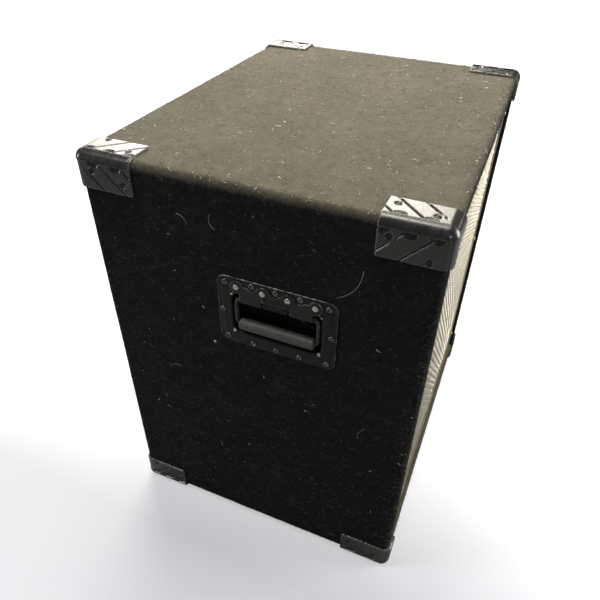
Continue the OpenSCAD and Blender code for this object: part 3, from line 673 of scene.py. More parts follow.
def handle_hole(points):
    """True where the dish passes through the carpet of a side face."""
    sideways = np.abs(np.abs(points[:, 0]) - WIDTH / 2) < 6
    return sideways & near_handle(points, HANDLE_HOLE)


def nap_height(points):
    """Unevenness of the carpet's surface in millimetres."""
    return (0.22 * lattice_noise(points, 34, 1) + 0.16 * lattice_noise(points, 9, 2)
            + 0.12 * lattice_noise(points, 4.2, 3))


def build_carpet_wrap():
    outer = carpet_sheet(0.0)
    grown = carpet_sheet(1.0)
    inner = carpet_sheet(-CARPET_T + 0.05)
    rows, cols = outer.shape[:2]
    flat = outer.reshape(-1, 3)
    normal = (grown - outer).reshape(-1, 3)
    lifted = flat + normal * (nap_height(flat) - NAP_SINK)[:, None]
    centres = lambda i, j: (flat[i * cols + j] + flat[(i + 1) * cols + (j + 1) % cols]) / 2
    quads = grid_quads(rows, cols, keep=lambda i, j: ~handle_hole(centres(i, j)), wrap=True)
    part = thick_sheet(lifted, inner.reshape(-1, 3), quads)
    piece("carpet_wrap_felt", part, "carpet", ROOT, ["carpet_wrap"])


def build_carpet_rear():
    """The rear sheet, with the cut-out for the jack plate."""
    low, high = box_mm("carpet_rear")
    step = 4.5
    xs = np.linspace(low[0], high[0], round((high[0] - low[0]) / step) + 1)
    zs = np.linspace(low[2], high[2], round((high[2] - low[2]) / step) + 1)
    z, x = np.meshgrid(zs, xs, indexing="ij")
    back = np.c_[x.ravel(), np.full(x.size, high[1]), z.ravel()]
    front = np.c_[x.ravel(), np.full(x.size, low[1]), z.ravel()]
    back[:, 1] += nap_height(back) - NAP_SINK
    cols = len(xs)

    def keep(i, j):
        mid = (back[i * cols + j] + back[(i + 1) * cols + j + 1]) / 2
        inside_x = np.abs(mid[:, 0]) < (PLATE_HIGH[0] - PLATE_LOW[0]) / 2 - 5
        inside_z = (mid[:, 2] > PLATE_LOW[2] + 5) & (mid[:, 2] < PLATE_HIGH[2] - 5)
        return ~(inside_x & inside_z)

    quads = grid_quads(len(zs), cols, keep)[:, ::-1]
    piece("carpet_rear_felt", thick_sheet(back, front, quads), "carpet", ROOT, ["carpet_rear"])


def fibre_mesh(roots, directions, normals, lengths, widths, curl, lift):
    """Thin three-sided hairs, each a curved run from its root, as one mesh."""
    n = len(roots)
    segs = 3
    side = np.cross(normals, directions)
    t = np.linspace(0, 1, segs + 1)[None, :, None]
    length = lengths[:, None, None]
    spine = (roots[:, None, :]
             + directions[:, None, :] * length * t
             + side[:, None, :] * length * curl[:, None, None] * t * t
             + normals[:, None, :] * length * lift[:, None, None] * np.sin(math.pi * (0.15 + 0.6 * t)))
    taper = (1 - 0.75 * t * t) * widths[:, None, None] / 2
    rings = []
    for k in range(3):
        a = 2 * math.pi * k / 3
        rings.append(spine + taper * (math.cos(a) * side[:, None, :] + math.sin(a) * normals[:, None, :]))
    verts = np.stack(rings, axis=2).reshape(-1, 3)
    faces = []
    for s in range(segs):
        for k in range(3):
            a, b = s * 3 + k, s * 3 + (k + 1) % 3
            faces.append((a, b, b + 3, a + 3))
    faces = np.array(faces)
    per = (segs + 1) * 3
    all_quads = (faces[None] + np.arange(n)[:, None, None] * per).reshape(-1, 4)
    ends = np.array([(2, 1, 0), (per - 3, per - 2, per - 1)])
    all_ends = (ends[None] + np.arange(n)[:, None, None] * per).reshape(-1, 3)
    return verts, all_quads.tolist() + all_ends.tolist()


FACES = {
    # name: (outward normal, first axis, second axis)
    "top": ((0, 0, 1), (1, 0, 0), (0, 1, 0)),
    "left": ((-1, 0, 0), (0, -1, 0), (0, 0, 1)),
    "right": ((1, 0, 0), (0, 1, 0), (0, 0, 1)),
    "rear": ((0, 1, 0), (-1, 0, 0), (0, 0, 1)),
    "front": ((0, -1, 0), (1, 0, 0), (0, 0, 1)),
}


def face_samples(face, count, edge_share):
    """Random points on one face of the carpet with its rounded edges: points and normals."""
    normal, a, b = (np.array(v, float) for v in FACES[face])
    half = np.array([WIDTH, DEPTH, HEIGHT]) / 2
    ha, hb, hn = abs(half @ a), abs(half @ b), abs(half @ normal)
    u = rng.uniform(-1, 1, count) * ha
    v = rng.uniform(-1, 1, count) * hb
    near_edge = rng.random(count) < edge_share
    which = rng.random(count) < ha / (ha + hb)
    push = rng.uniform(0, 1, count) * EDGE_R * 1.3
    sign = rng.choice([-1.0, 1.0], count)
    v = np.where(near_edge & which, sign * (hb - push), v)
    u = np.where(near_edge & ~which, sign * (ha - push), u)
    du = np.sign(u) * np.maximum(np.abs(u) - (ha - EDGE_R), 0)
    dv = np.sign(v) * np.maximum(np.abs(v) - (hb - EDGE_R), 0)
    # the square's overhang bends round the edge by up to 45 degrees
    out_u = np.clip(du / EDGE_R, -1, 1) * math.pi / 4
    out_v = np.clip(dv / EDGE_R, -1, 1) * math.pi / 4
    n = (np.outer(np.cos(out_u) * np.cos(out_v), normal) + np.outer(np.sin(out_u), a)
         + np.outer(np.sin(out_v), b))
    n /= np.linalg.norm(n, axis=1)[:, None]
    core = np.outer(u - du, a) + np.outer(v - dv, b) + np.outer(np.full(count, hn - EDGE_R), normal)
    return CENTRE + core + n * EDGE_R, n


def clear_of_hardware(points):
    """True for points of the carpet that no protector, handle, grille or jack plate covers."""
    offset = np.abs(points - CENTRE)
    half = np.array([WIDTH, DEPTH, HEIGHT]) / 2
    in_leg = offset > half - np.array([LEG_W, LEG_D, LEG_H]) - 1.5
    under_corner = in_leg.all(axis=1)
    on_side = offset[:, 0] > half[0] - 1
    near = near_handle(points, HANDLE_CLEAR)
    on_rear = points[:, 1] > CENTRE[1] + half[1] - 1
    plate = ((np.abs(points[:, 0]) < JACK_CLEAR)
             & (points[:, 2] > PLATE_LOW[2] - 1) & (points[:, 2] < PLATE_HIGH[2] + 1))
    on_front = points[:, 1] < CENTRE[1] - half[1] + 1
    grille = (offset[:, 0] < half[0] - RIM) & (offset[:, 2] < half[2] - RIM)
    return ~(under_corner | (on_side & near) | (on_rear & plate) | (on_front & grille))


def open_samples(face, count, edge_share):
    """The random points of one face, with their normals, that no hardware covers."""
    points, normals = face_samples(face, count, edge_share)
    uncovered = clear_of_hardware(points)
    return points[uncovered], normals[uncovered]


def tangents(normals):
    """A random direction along the surface at each point."""
    d = rng.normal(size=normals.shape)
    d -= normals * np.sum(d * normals, axis=1)[:, None]
    return d / np.linalg.norm(d, axis=1)[:, None]


def build_fibres():
    """Loose fibres standing out of the carpet and pale lint lying on it, one mesh for each face."""
    for face, count, edge_share in (("top", 9500, 0.22), ("left", 8500, 0.2), ("right", 7000, 0.2),
                                    ("rear", 6500, 0.1), ("front", 4500, 1.0)):
        points, normals = open_samples(face, count, edge_share)
        n = len(points)
        along = tangents(normals)
        stand = rng.uniform(0.0, 0.5, n)[:, None]
        direction = along * (1 - stand) + normals * stand
        direction /= np.linalg.norm(direction, axis=1)[:, None]
        part = fibre_mesh(points - 0.35 * normals, direction, normals, rng.uniform(2.2, 6.5, n),
                          rng.uniform(0.14, 0.26, n), rng.normal(0, 0.45, n), rng.uniform(0.0, 0.12, n))
        piece("carpet_fibres_" + face, part, "fibre", ROOT)
    for face, count in (("top", 820), ("left", 70), ("right", 70), ("rear", 70)):
        points, normals = open_samples(face, count, 0.3)
        n = len(points)
        size = rng.gamma(2.0, 0.5, n)
        part = fibre_mesh(points - 0.1 * normals, tangents(normals), normals, 1.2 + 1.6 * size,
                          0.4 + 0.32 * size, rng.normal(0, 0.8, n), rng.uniform(0.05, 0.3, n))
        piece("carpet_lint_" + face, part, "lint", ROOT)


def build_hairs():
    """Long stray hairs caught in the carpet of the side faces, and two large flecks."""
    parts = []
    # each hair: its side, its start, its length, its first direction in degrees, how much it bends
    for side, y, z, length, turn, bend in (
            (-1, -143, 588, 62, -95, 0.55), (-1, 40, 590, 26, 15, 0.9),
            (-1, 96, 600, 22, 170, 0.8), (-1, -160, 300, 30, 80, 0.4), (-1, 120, 330, 26, 30, -0.7),
            (1, -60, 600, 32, 40, 0.7), (1, 90, 360, 28, 120, -0.5), (1, -150, 250, 30, 10, 0.6)):
        t = np.linspace(0, 1, 14)
        heading = math.radians(turn) + bend * 2.2 * t
        step = length / len(t)
        dy = np.cumsum(np.cos(heading)) * step
        dz = np.cumsum(np.sin(heading)) * step
        x = side * (WIDTH / 2 + 0.5 + 0.5 * np.sin(3 * t + turn))
        parts.append(tube(np.c_[x, y + dy, z + dz], 0.16 * (1 - 0.5 * t) + 0.04, 5))
    piece("carpet_hairs", join_parts(parts), "lint", ROOT)
    # two flecks big enough to stand out: where they lie, and which way
    flecks = []
    for place, along in (((-101, 38, CARPET_HIGH[2] + 0.8), (0.9, 0.4, 0)),
                         ((-WIDTH / 2 - 0.8, 57, 406.6), (0, 0.5, 0.8))):
        t = np.linspace(-1, 1, 7)
        spine = np.array(place) + np.outer(2.4 * t, along)
        flecks.append(tube(spine, 1.5 * np.sqrt(1.04 - t * t), 8))
    piece("carpet_flecks", join_parts(flecks), "lint", ROOT)


build_carpet_wrap()
build_carpet_rear()
build_fibres()
build_hairs()

# ------------------------------------------------------------------ screws


def pan_head(radius, height, base=0.0):
    """A domed screw head with a cross recess, standing on z = base."""
    segments, rings = 48, 13
    angles = np.linspace(0, 2 * math.pi, segments, endpoint=False)
    rows = [np.c_[radius * np.cos(angles), radius * np.sin(angles), np.full(segments, base)]]
    for f in np.linspace(1, 0.04, rings):
        r = radius * f
        x, y = r * np.cos(angles), r * np.sin(angles)
        z = base + height * (0.25 + 0.75 * np.sqrt(np.clip(1 - (r / radius) ** 2.6, 0, 1)))
        arm = np.minimum(np.abs(x), np.abs(y))
        reach = np.maximum(np.abs(x), np.abs(y))
        cut = ((1 - smoothstep(0.11 * radius, 0.2 * radius, arm))
               * (1 - smoothstep(0.42 * radius, 0.6 * radius, reach)))
        z = z - 0.62 * height * cut
        rows.append(np.c_[x, y, z])
    return loft(rows)


def socket_head(radius, height, base=0.0):
    """A cap head with a hexagonal socket and a chamfered rim."""
    socket = hexagon(0.5 * radius)
    rim = ((radius, 0), (radius, height - 0.7), (radius - 0.25, height - 0.2), (radius - 0.8, height))
    hole = ((1.06, height), (1.0, height - 0.3), (1.0, 0.35 * height), (0.3, 0.3 * height))
    rows = [ring(r, len(socket), base + z) for r, z in rim]
    rows += [ring(grow * socket, len(socket), base + z) for grow, z in hole]
    return loft(rows)


def turned_by(degrees):
    return Matrix.Rotation(math.radians(degrees), 4, "Z")


def shank(radius, z0, z1):
    """A screw's body with a blunt point at z0."""
    loop = ring(radius, 16, 0)[:, :2]
    return loft([at_level(loop * 0.3, z0), at_level(loop, z0 + 3), at_level(loop, z1)])


# ------------------------------------------------------------------ corner protectors

# height of the screws' seats; width of the bead along an edge and of the one at a plate's end
SCREW_SEAT = 1.2
BEAD = 9.5
BEAD_END = 12.5
# depth of the grooves under the flat field, and of the field under the bead
GROOVE_DEPTH = 2.1
FIELD_STEP = 0.8
# one moulding fits every corner: its two long plates swap places between mirrored corners.
# each plate: where its 45 degree grooves meet a = 0, its half-moon pockets along a, its screws
PLATE_A = ((-6.0, -38.0), (16.0, 44.0, 73.0), ((66.0, 18.8), (21.0, 39.5)))
PLATE_B = ((7.0, -24.0, -57.0), (27.0, 60.0), ((23.0, 20.5), (67.0, 31.0)))
PLATE_END = ((-8.0, 18.0), (18.0,), ((31.0, 31.0),))


def plate_relief(a, b, plate):
    """Height of a protector's plate against its bead; a runs along the depth, b across."""
    grooves, pockets, screws = plate
    into = np.minimum(a - BEAD_END, b - BEAD)
    field = smoothstep(0.0, 1.6, into)
    height = -FIELD_STEP * field
    for start in grooves:
        # a steep wall, then a long slope back up, towards larger b
        t = (b - a - start) / math.sqrt(2) + 1.6
        height = height - field * GROOVE_DEPTH * np.clip(np.minimum(1 + t / 1.0, 1.1 - t / 2.6), 0, 1)
    for centre in pockets:
        reach = np.hypot((a - centre) / 8.5, (b - BEAD) / 7.5)
        fall = np.clip(1 - (b - BEAD) / 7.5, 0, 1)
        pocket = -FIELD_STEP - 1.7 * fall * smoothstep(1.0, 0.86, reach)
        height = np.where(b > BEAD - 0.2, np.minimum(height, pocket), height)
    for sa, sb in screws:
        away = np.hypot(a - sa, b - sb)
        boss = 1 - smoothstep(6.0, 7.4, away)
        height = height * (1 - boss) - 0.9 * boss
        well = 1 - smoothstep(3.8, 4.8, away)
        height = height * (1 - well) - (CORNER_T - SCREW_SEAT - 0.9) * well
    return height


def end_roll(distance):
    """The drop towards a free end of a plate."""
    t = np.clip(1 - distance / 2.2, 0, 1)
    return -2.6 * (1 - np.sqrt(1 - np.minimum(t * t, 0.9999)))


def leg_coordinates(length, step=0.75):
    """Evenly spaced distances from the sharp edge of the cabinet along one leg."""
    return np.linspace(0.0, length, int(round(length / step)) + 1)


def round_free_corner(a, b, la, lb, r=5.0):
    """Bends the square free corner of a plate into a round one."""
    s = np.clip((a - (la - r)) / r, 0, 1)
    t = np.clip((b - (lb - r)) / r, 0, 1)
    both = (s > 0) & (t > 0)
    na = np.where(both, la - r + r * s * np.sqrt(1 - t * t / 2), a)
    nb = np.where(both, lb - r + r * t * np.sqrt(1 - s * s / 2), b)
    return na, nb


def protector_part(rear, swap):
    """One protector in its corner frame: x, y and z all run out of the cabinet from 0."""
    radius = EDGE_R + CORNER_T
    legs = (LEG_W, LEG_D, LEG_H)
    outer, inner, quads = [], [], []
    base = 0
    # each plate: (axis it faces, axis of a, axis of b, its pattern)
    top, side = (PLATE_A, PLATE_B) if swap else (PLATE_B, PLATE_A)
    for facing, along, across, plate in ((2, 1, 0, top), (0, 1, 2, side), (1, 0, 2, PLATE_END)):
        lines = [leg_coordinates(legs[axis] + CORNER_T) for axis in (along, across)]
        a, b = np.meshgrid(*lines, indexing="ij")
        shape = a.shape
        la, lb = a.max(), b.max()
        lip = facing == 1 and not rear
        a, b = a.ravel(), b.ravel()
        ra, rb = round_free_corner(a, b, la, lb) if not lip else (a, b)
        sharp = np.zeros((len(a), 3))
        sharp[:, facing] = CORNER_T
        sharp[:, along] = CORNER_T - ra
        sharp[:, across] = CORNER_T - rb
        core = np.minimum(sharp, -EDGE_R)
        out = sharp - core
        out /= np.linalg.norm(out, axis=1)[:, None]
        fa, fb = ra - CORNER_T, rb - CORNER_T
        if lip:
            relief = np.zeros(len(a))
            free = np.minimum(la - ra, lb - rb)
            free = np.minimum(free, np.maximum(RIM + CORNER_T - ra, RIM + CORNER_T - rb))
        else:
            relief = plate_relief(fa, fb, plate)
            free = np.minimum(la - ra, lb - rb)
        rise = radius + relief + end_roll(free)
        outer.append(core + out * rise[:, None])
        inner.append(core + out * (EDGE_R + 0.1))
        keep = None
        if lip:
            grid_a, grid_b = a.reshape(shape), b.reshape(shape)
            lip_end = RIM + CORNER_T - 1
            keep = lambda i, j: (grid_a[i, j] < lip_end) | (grid_b[i, j] < lip_end)
        block = grid_quads(shape[0], shape[1], keep) + base
        sign = np.linalg.det(np.eye(3)[[facing, along, across]])
        quads.append(block if sign < 0 else block[:, ::-1])
        base += len(a)
    return weld_sheet(np.concatenate(outer), np.concatenate(inner), np.concatenate(quads))


def weld_sheet(outer, inner, quads):
    """Joins points that coincide, then closes the sheet into a shell."""
    key = np.round(outer, 2)
    _, first, index = np.unique(key, axis=0, return_index=True, return_inverse=True)
    quads = index.ravel()[quads]
    solid = [q for q in quads.tolist() if len(set(q)) == 4]
    return thick_sheet(outer[first], inner[first], solid)


def corner_matrix(sx, sy, sz):
    half = np.array([WIDTH, DEPTH, HEIGHT]) / 2
    place = CENTRE + half * (sx, sy, sz)
    return Matrix.Translation(place) @ Matrix.Diagonal((sx, sy, sz, 1))


def protector_screw_matrices(rear, swap):
    """Each screw's place in the corner frame, its z pointing out of the plate."""
    top, side = (PLATE_A, PLATE_B) if swap else (PLATE_B, PLATE_A)
    spots = [Matrix.Translation((-b, -a, 0)) for a, b in top[2]]
    sideways = Matrix.Rotation(math.pi / 2, 4, "Y")
    spots += [Matrix.Translation((0, -a, -b)) @ sideways for a, b in side[2]]
    if rear:
        backwards = Matrix.Rotation(-math.pi / 2, 4, "X")
        spots += [Matrix.Translation((-a, 0, -b)) @ backwards for a, b in PLATE_END[2]]
    return spots


def build_corners():
    kinds = [(rear, swap) for rear in (False, True) for swap in (False, True)]
    shapes = {kind: protector_part(*kind) for kind in kinds}
    head = join_parts([pan_head(3.7, 1.7, SCREW_SEAT), shank(1.9, -12, SCREW_SEAT + 0.1)])
    screws = []
    for sx, side in ((-1, "left"), (1, "right")):
        for sy, end in ((-1, "front"), (1, "rear")):
            for sz, level in ((-1, "bottom"), (1, "top")):
                name = f"corner_{end}_{level}_{side}"
                place = corner_matrix(sx, sy, sz)
                kind = (sy > 0, sx * sy * sz < 0)
                piece(name + "_moulding", moved(shapes[kind], place), "corner_plastic", ROOT, [name],
                      crease=50)
                for spot in protector_screw_matrices(*kind):
                    screws.append(moved(head, place @ spot @ turned_by(rng.uniform(0, 90))))
    piece("corner_screw_heads", join_parts(screws), "corner_screw", ROOT, ["corner_screws"],
          crease=40)


build_corners()

# ------------------------------------------------------------------ grille

WIRE_PITCH = 10.8
WIRE_R = 1.0
CHANNEL_W = 15.0


def build_mesh():
    """Plain-woven crimped wire at 45 degrees, each wire passing over and under the next."""
    inset = 1.0
    x0, x1 = MESH_LOW[0] + inset, MESH_HIGH[0] - inset
    z0, z1 = MESH_LOW[2] + inset, MESH_HIGH[2] - inset
    cz = (z0 + z1) / 2
    y = (MESH_LOW[1] + MESH_HIGH[1]) / 2
    reach = (x1 - x0 + z1 - z0) / (2 * math.sqrt(2))
    parts = []
    for lean in (1, -1):
        along = np.array([1, lean]) / math.sqrt(2)
        across = np.array([-lean, 1]) / math.sqrt(2)
        count = int(reach // WIRE_PITCH)
        for k in range(-count, count + 1):
            start = across * k * WIRE_PITCH
            limits = []
            for axis, low, high in ((0, x0, x1), (1, z0 - cz, z1 - cz)):
                t = sorted(((low - start[axis]) / along[axis], (high - start[axis]) / along[axis]))
                limits.append(t)
            t0, t1 = max(l[0] for l in limits), min(l[1] for l in limits)
            if t1 - t0 < WIRE_PITCH:
                continue
            half = WIRE_PITCH / 2
            steps = np.arange(math.ceil(t0 / half), math.floor(t1 / half) + 1)
            t = np.concatenate([[t0], steps * half, [t1]])
            wave = lean * np.cos(math.pi * (t / WIRE_PITCH + k)) * WIRE_R * 0.94
            flat = start + t[:, None] * along
            parts.append(tube(np.c_[flat[:, 0], y + wave, flat[:, 1] + cz], WIRE_R, 6))
    piece("grille_woven_wire", join_parts(parts), "grille_steel", ROOT, ["grille_mesh"])


def build_grille_frame():
    """A folded channel round the mesh, open towards the middle."""
    w, h = FRAME_HIGH[0] - FRAME_LOW[0], FRAME_HIGH[2] - FRAME_LOW[2]
    cz = (FRAME_LOW[2] + FRAME_HIGH[2]) / 2
    depth = FRAME_HIGH[1] - FRAME_LOW[1]
    sheet = 1.5
    fold = 2.0
    section = [(CHANNEL_W, sheet), (CHANNEL_W + 0.2, sheet / 2), (CHANNEL_W, 0.0)]
    section += [(x, 0.0) for x in np.linspace(CHANNEL_W - 1.5, fold + 0.5, 6)]
    section += [(fold - x, fold - y) for x, y in arc(0, 0, fold, 90, 0, 6)]
    section += [(0.0, depth - fold)]
    section += [(fold - x, depth - fold + y) for x, y in arc(0, 0, fold, 0, 90, 6)]
    section += [(CHANNEL_W, depth), (CHANNEL_W, depth - sheet), (sheet, depth - sheet), (sheet, sheet)]
    rings = []
    for inset, y in section:
        loop = rounded_loop(w - 2 * inset, h - 2 * inset, max(4.0 - inset, 0.6), n_w=8, n_h=8, n_arc=6)
        rings.append(np.c_[loop[:, 0], np.full(len(loop), FRAME_LOW[1] + y), loop[:, 1] + cz])
    piece("grille_channel", loft(rings, closed_path=True), "grille_steel", ROOT, ["grille_frame"],
          crease=35)
    screws = []
    head = join_parts([pan_head(4.2, 2.0), shank(1.9, -22, 0.1)])
    for x in (-1, 1):
        for z in (-1, 0, 1):
            spot = (x * (w / 2 - 7.5), FRAME_LOW[1], cz + z * ((MESH_HIGH[2] - MESH_LOW[2]) / 2 - 40))
            place = Matrix.Translation(spot) @ FACE_FRONT
            screws.append(moved(head, place @ turned_by(rng.uniform(0, 90))))
    piece("grille_screw_heads", join_parts(screws), "zinc_screw", ROOT, ["grille_screws"], crease=40)


build_mesh()
build_grille_frame()

# ------------------------------------------------------------------ driver and ports

DRIVER = Matrix.Translation(((GASKET_LOW[0] + GASKET_HIGH[0]) / 2, BAFFLE_FRONT,
                             (GASKET_LOW[2] + GASKET_HIGH[2]) / 2)) @ FACE_FRONT
CONE_LOW, CONE_HIGH = box_mm("woofer_cone")
CAP_LOW, CAP_HIGH = box_mm("woofer_dust_cap")
CONE_R = (CONE_HIGH[0] - CONE_LOW[0]) / 2
CONE_RIM = BAFFLE_FRONT - CONE_LOW[1]
CONE_NECK = BAFFLE_FRONT - CONE_HIGH[1]
CAP_R = (CAP_HIGH[0] - CAP_LOW[0]) / 2
CAP_TOP = BAFFLE_FRONT - CAP_LOW[1]
CAP_BASE = BAFFLE_FRONT - CAP_HIGH[1]


def build_cone():
    """A ribbed paper cone with a flat lip, a dust cap with a glue bead."""
    neck_r = 52.2
    t = np.linspace(0, 1, 60)
    r = neck_r + (CONE_R - 8 - neck_r) * t
    line = CONE_NECK + 3.2 + (CONE_RIM - 0.2 - CONE_NECK - 3.2) * t
    bow = -3.0 * np.sin(math.pi * t) * smoothstep(0.18, 0.5, t)
    ribs = np.zeros_like(t)
    for place in (0.52, 0.68, 0.84):
        ribs += 1.1 * np.exp(-((t - place) / 0.016) ** 2)
    front = np.c_[r, line + bow + ribs]
    lip = [(CONE_R - 6, CONE_RIM - 0.1), (CONE_R, CONE_RIM - 0.1),
           (CONE_R, CONE_RIM - 1.5), (CONE_R - 7, CONE_RIM - 1.6)]
    back = np.c_[r, line + bow + ribs - 1.7][::-1]
    piece("woofer_paper_cone", moved(lathe(np.concatenate([front, lip, back]), 144), DRIVER), "cone_paper",
          "cone_assembly", ["woofer_cone"])
    rise = CAP_TOP - CAP_BASE - 1.0
    dome_r = (CAP_R ** 2 + rise ** 2) / (2 * rise)
    half = math.asin(CAP_R / dome_r)
    shell = lambda radius: [(radius * math.sin(a), CAP_TOP - dome_r + radius * math.cos(a))
                            for a in np.linspace(0, half, 28)]
    outline = shell(dome_r) + shell(dome_r - 1.1)[::-1]
    piece("woofer_cap", moved(lathe_solid(outline, 96), DRIVER), "cone_paper", "cone_assembly",
          ["woofer_dust_cap"])
    bead_z = CAP_BASE + 1.4
    bead = lathe([(CAP_R + 0.2 + 1.5 * math.cos(a), bead_z + 1.5 * math.sin(a))
                  for a in np.linspace(0, 2 * math.pi, 12, endpoint=False)], 96)
    piece("woofer_glue_bead", moved(bead, DRIVER), "gasket_foam", "cone_assembly")


SURROUND_WEDGES = 24


def build_surround():
    """Two cloth rolls between the cone's lip and the driver's frame, made as a ring of wedges."""
    inner, outer = CONE_R - 0.5, 205.2
    pitch = (outer - inner) / 2
    z = CONE_RIM + 0.55
    top = [(CONE_R - 6, z)]
    for i in range(2):
        sign = 1 if i == 0 else -1
        centre = inner + pitch * (i + 0.5)
        top += [(centre - (pitch / 2) * math.cos(a), z + sign * (pitch / 2) * math.sin(a))
                for a in np.linspace(0, math.pi, 14)[(1 if i else 0):]]
    top += [(213.0, z)]
    top = np.array(top)
    tangent = np.gradient(top, axis=0)
    normal = np.c_[-tangent[:, 1], tangent[:, 0]] / np.linalg.norm(tangent, axis=1)[:, None]
    outline = np.concatenate([top + 0.42 * normal, (top - 0.42 * normal)[::-1]])
    # the ring is built as wedges, one object for each, each spanning its own share of the turn
    step = 360 / SURROUND_WEDGES
    for k in range(SURROUND_WEDGES):
        rings = []
        for degrees in np.linspace(-step / 2, step / 2, 7):
            angle = math.radians(k * step + degrees)
            radii, levels = outline.T
            rings.append(np.c_[radii * math.cos(angle), radii * math.sin(angle), levels])
        mesh = moved(loft(rings), DRIVER)
        obj = make_object(f"woofer_roll_surround_{k + 1:02d}", *mesh, MATS["surround_cloth"], crease=60)
        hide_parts("woofer_surround")
        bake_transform(obj)


def build_gasket():
    inner, outer = 214.0, (GASKET_HIGH[0] - GASKET_LOW[0]) / 2
    z0, z1 = BAFFLE_FRONT - GASKET_HIGH[1], BAFFLE_FRONT - GASKET_LOW[1]
    soft = 1.0
    outline = [(inner, z0), (outer, z0), (outer, z1 - soft), (outer - 0.3, z1 - 0.3), (outer - soft, z1),
               (inner + soft, z1), (inner + 0.3, z1 - 0.3), (inner, z1 - soft)]
    piece("woofer_gasket_ring", moved(lathe(outline, 144), DRIVER), "gasket_foam", ROOT, ["woofer_gasket"])
    heads = []
    bolt = join_parts([socket_head(6.0, 5.0, z1), shank(3.0, -23, z1 + 0.1)])
    washer = lathe([(3.2, z1 - 0.4), (8.2, z1 - 0.4), (8.2, z1 + 0.5), (7.8, z1 + 0.8),
                    (3.2, z1 + 0.8)], 48)
    for i in range(8):
        spot = turned_by(45 * (i + 0.5)) @ Matrix.Translation((220, 0, 0)) @ turned_by(rng.uniform(0, 60))
        heads += [moved(bolt, DRIVER @ spot), moved(washer, DRIVER @ spot)]
    piece("woofer_bolt_heads", join_parts(heads), "black_screw", ROOT, ["woofer_bolts"], crease=35)


def build_ports():
    """Moulded tubes with a flared mouth."""
    for side in ("left", "right"):
        low, high = box_mm("port_tube_" + side)
        centre_x, centre_z = (low[0] + high[0]) / 2, (low[2] + high[2]) / 2
        flange_r = (high[0] - low[0]) / 2
        bore_r, wall_r = flange_r - 13, flange_r - 10
        front = BAFFLE_FRONT - low[1]
        back = BAFFLE_FRONT - high[1]
        flare = 9.0
        outline = [(wall_r, back), (wall_r, 0.05), (flange_r - 0.4, 0.05), (flange_r, 0.8),
                   (flange_r - 0.6, 2.0)]
        outline += [(bore_r + flare + 1, front)]
        outline += [(bore_r + flare - x, front - flare + y) for x, y in arc(0, 0, flare, 80, 0, 8)]
        outline += [(bore_r, back), (bore_r + 1, back - 0.02)]
        place = Matrix.Translation((centre_x, BAFFLE_FRONT, centre_z)) @ FACE_FRONT
        piece("port_flared_" + side, moved(lathe(outline, 96), place), "port_plastic", ROOT,
              ["port_tube_" + side], crease=40)


build_cone()
build_surround()
build_gasket()
build_ports()

# ------------------------------------------------------------------ handles

FLANGE_L, FLANGE_H = 164.0, 108.0
OPEN_L, OPEN_LOW, OPEN_HIGH = 124.0, -33.0, 31.0
HINGE_Y, HINGE_Z = 21.0, -1.5
BAIL_LEN = 41.0
ROD_R = 3.0
ARM_X = 57.0
GRIP_R = 8.5
DISH_DEPTH = 30.0
STRAP_T = 1.2
STRAP_TOP = 3.55
BARREL_R = STRAP_TOP - HINGE_Z
SHEET = 1.5
RIVETS = (-53.5, -17.0, 17.0, 53.5)
RIVET_Y = 42.0
RING_SCREWS = ([(x, y) for x in (-33, 0, 33) for y in (-47.4, 47.4)]
               + [(x, y) for x in (-70.4, 70.4) for y in (-44.8, 44.8)] + [(-75.2, 0), (75.2, 0)])


def handle_matrix(side):
    """The handle's own frame: x along the flange, y up, z out of the side face."""
    turn = Matrix.Rotation(side * math.pi / 2, 4, "Z") @ FACE_FRONT
    return Matrix.Translation((side * WIDTH / 2, HANDLE_Y, HANDLE_Z)) @ turn


def box_distance(x, y, w, h, r):
    """Signed distance to a centred rectangle with round corners, negative inside."""
    qx, qy = np.abs(x) - w / 2 + r, np.abs(y) - h / 2 + r
    return np.hypot(np.maximum(qx, 0), np.maximum(qy, 0)) + np.minimum(np.maximum(qx, qy), 0) - r


def flange_relief(x, y):
    """The raised field of the flange, with lobes over the rivets and scallops round the screws."""
    d = box_distance(x, y, FLANGE_L - 14, FLANGE_H - 20, 8)
    for rx in RIVETS:
        for s in (-1, 1):
            d = np.minimum(d, np.hypot(x - rx, y - 39 * s) - 13)
    for sx, sy in RING_SCREWS:
        d = np.maximum(d, 6.6 - np.hypot(x - sx, y - sy))
    return 0.85 * (1 - smoothstep(-1.0, 1.0, d))


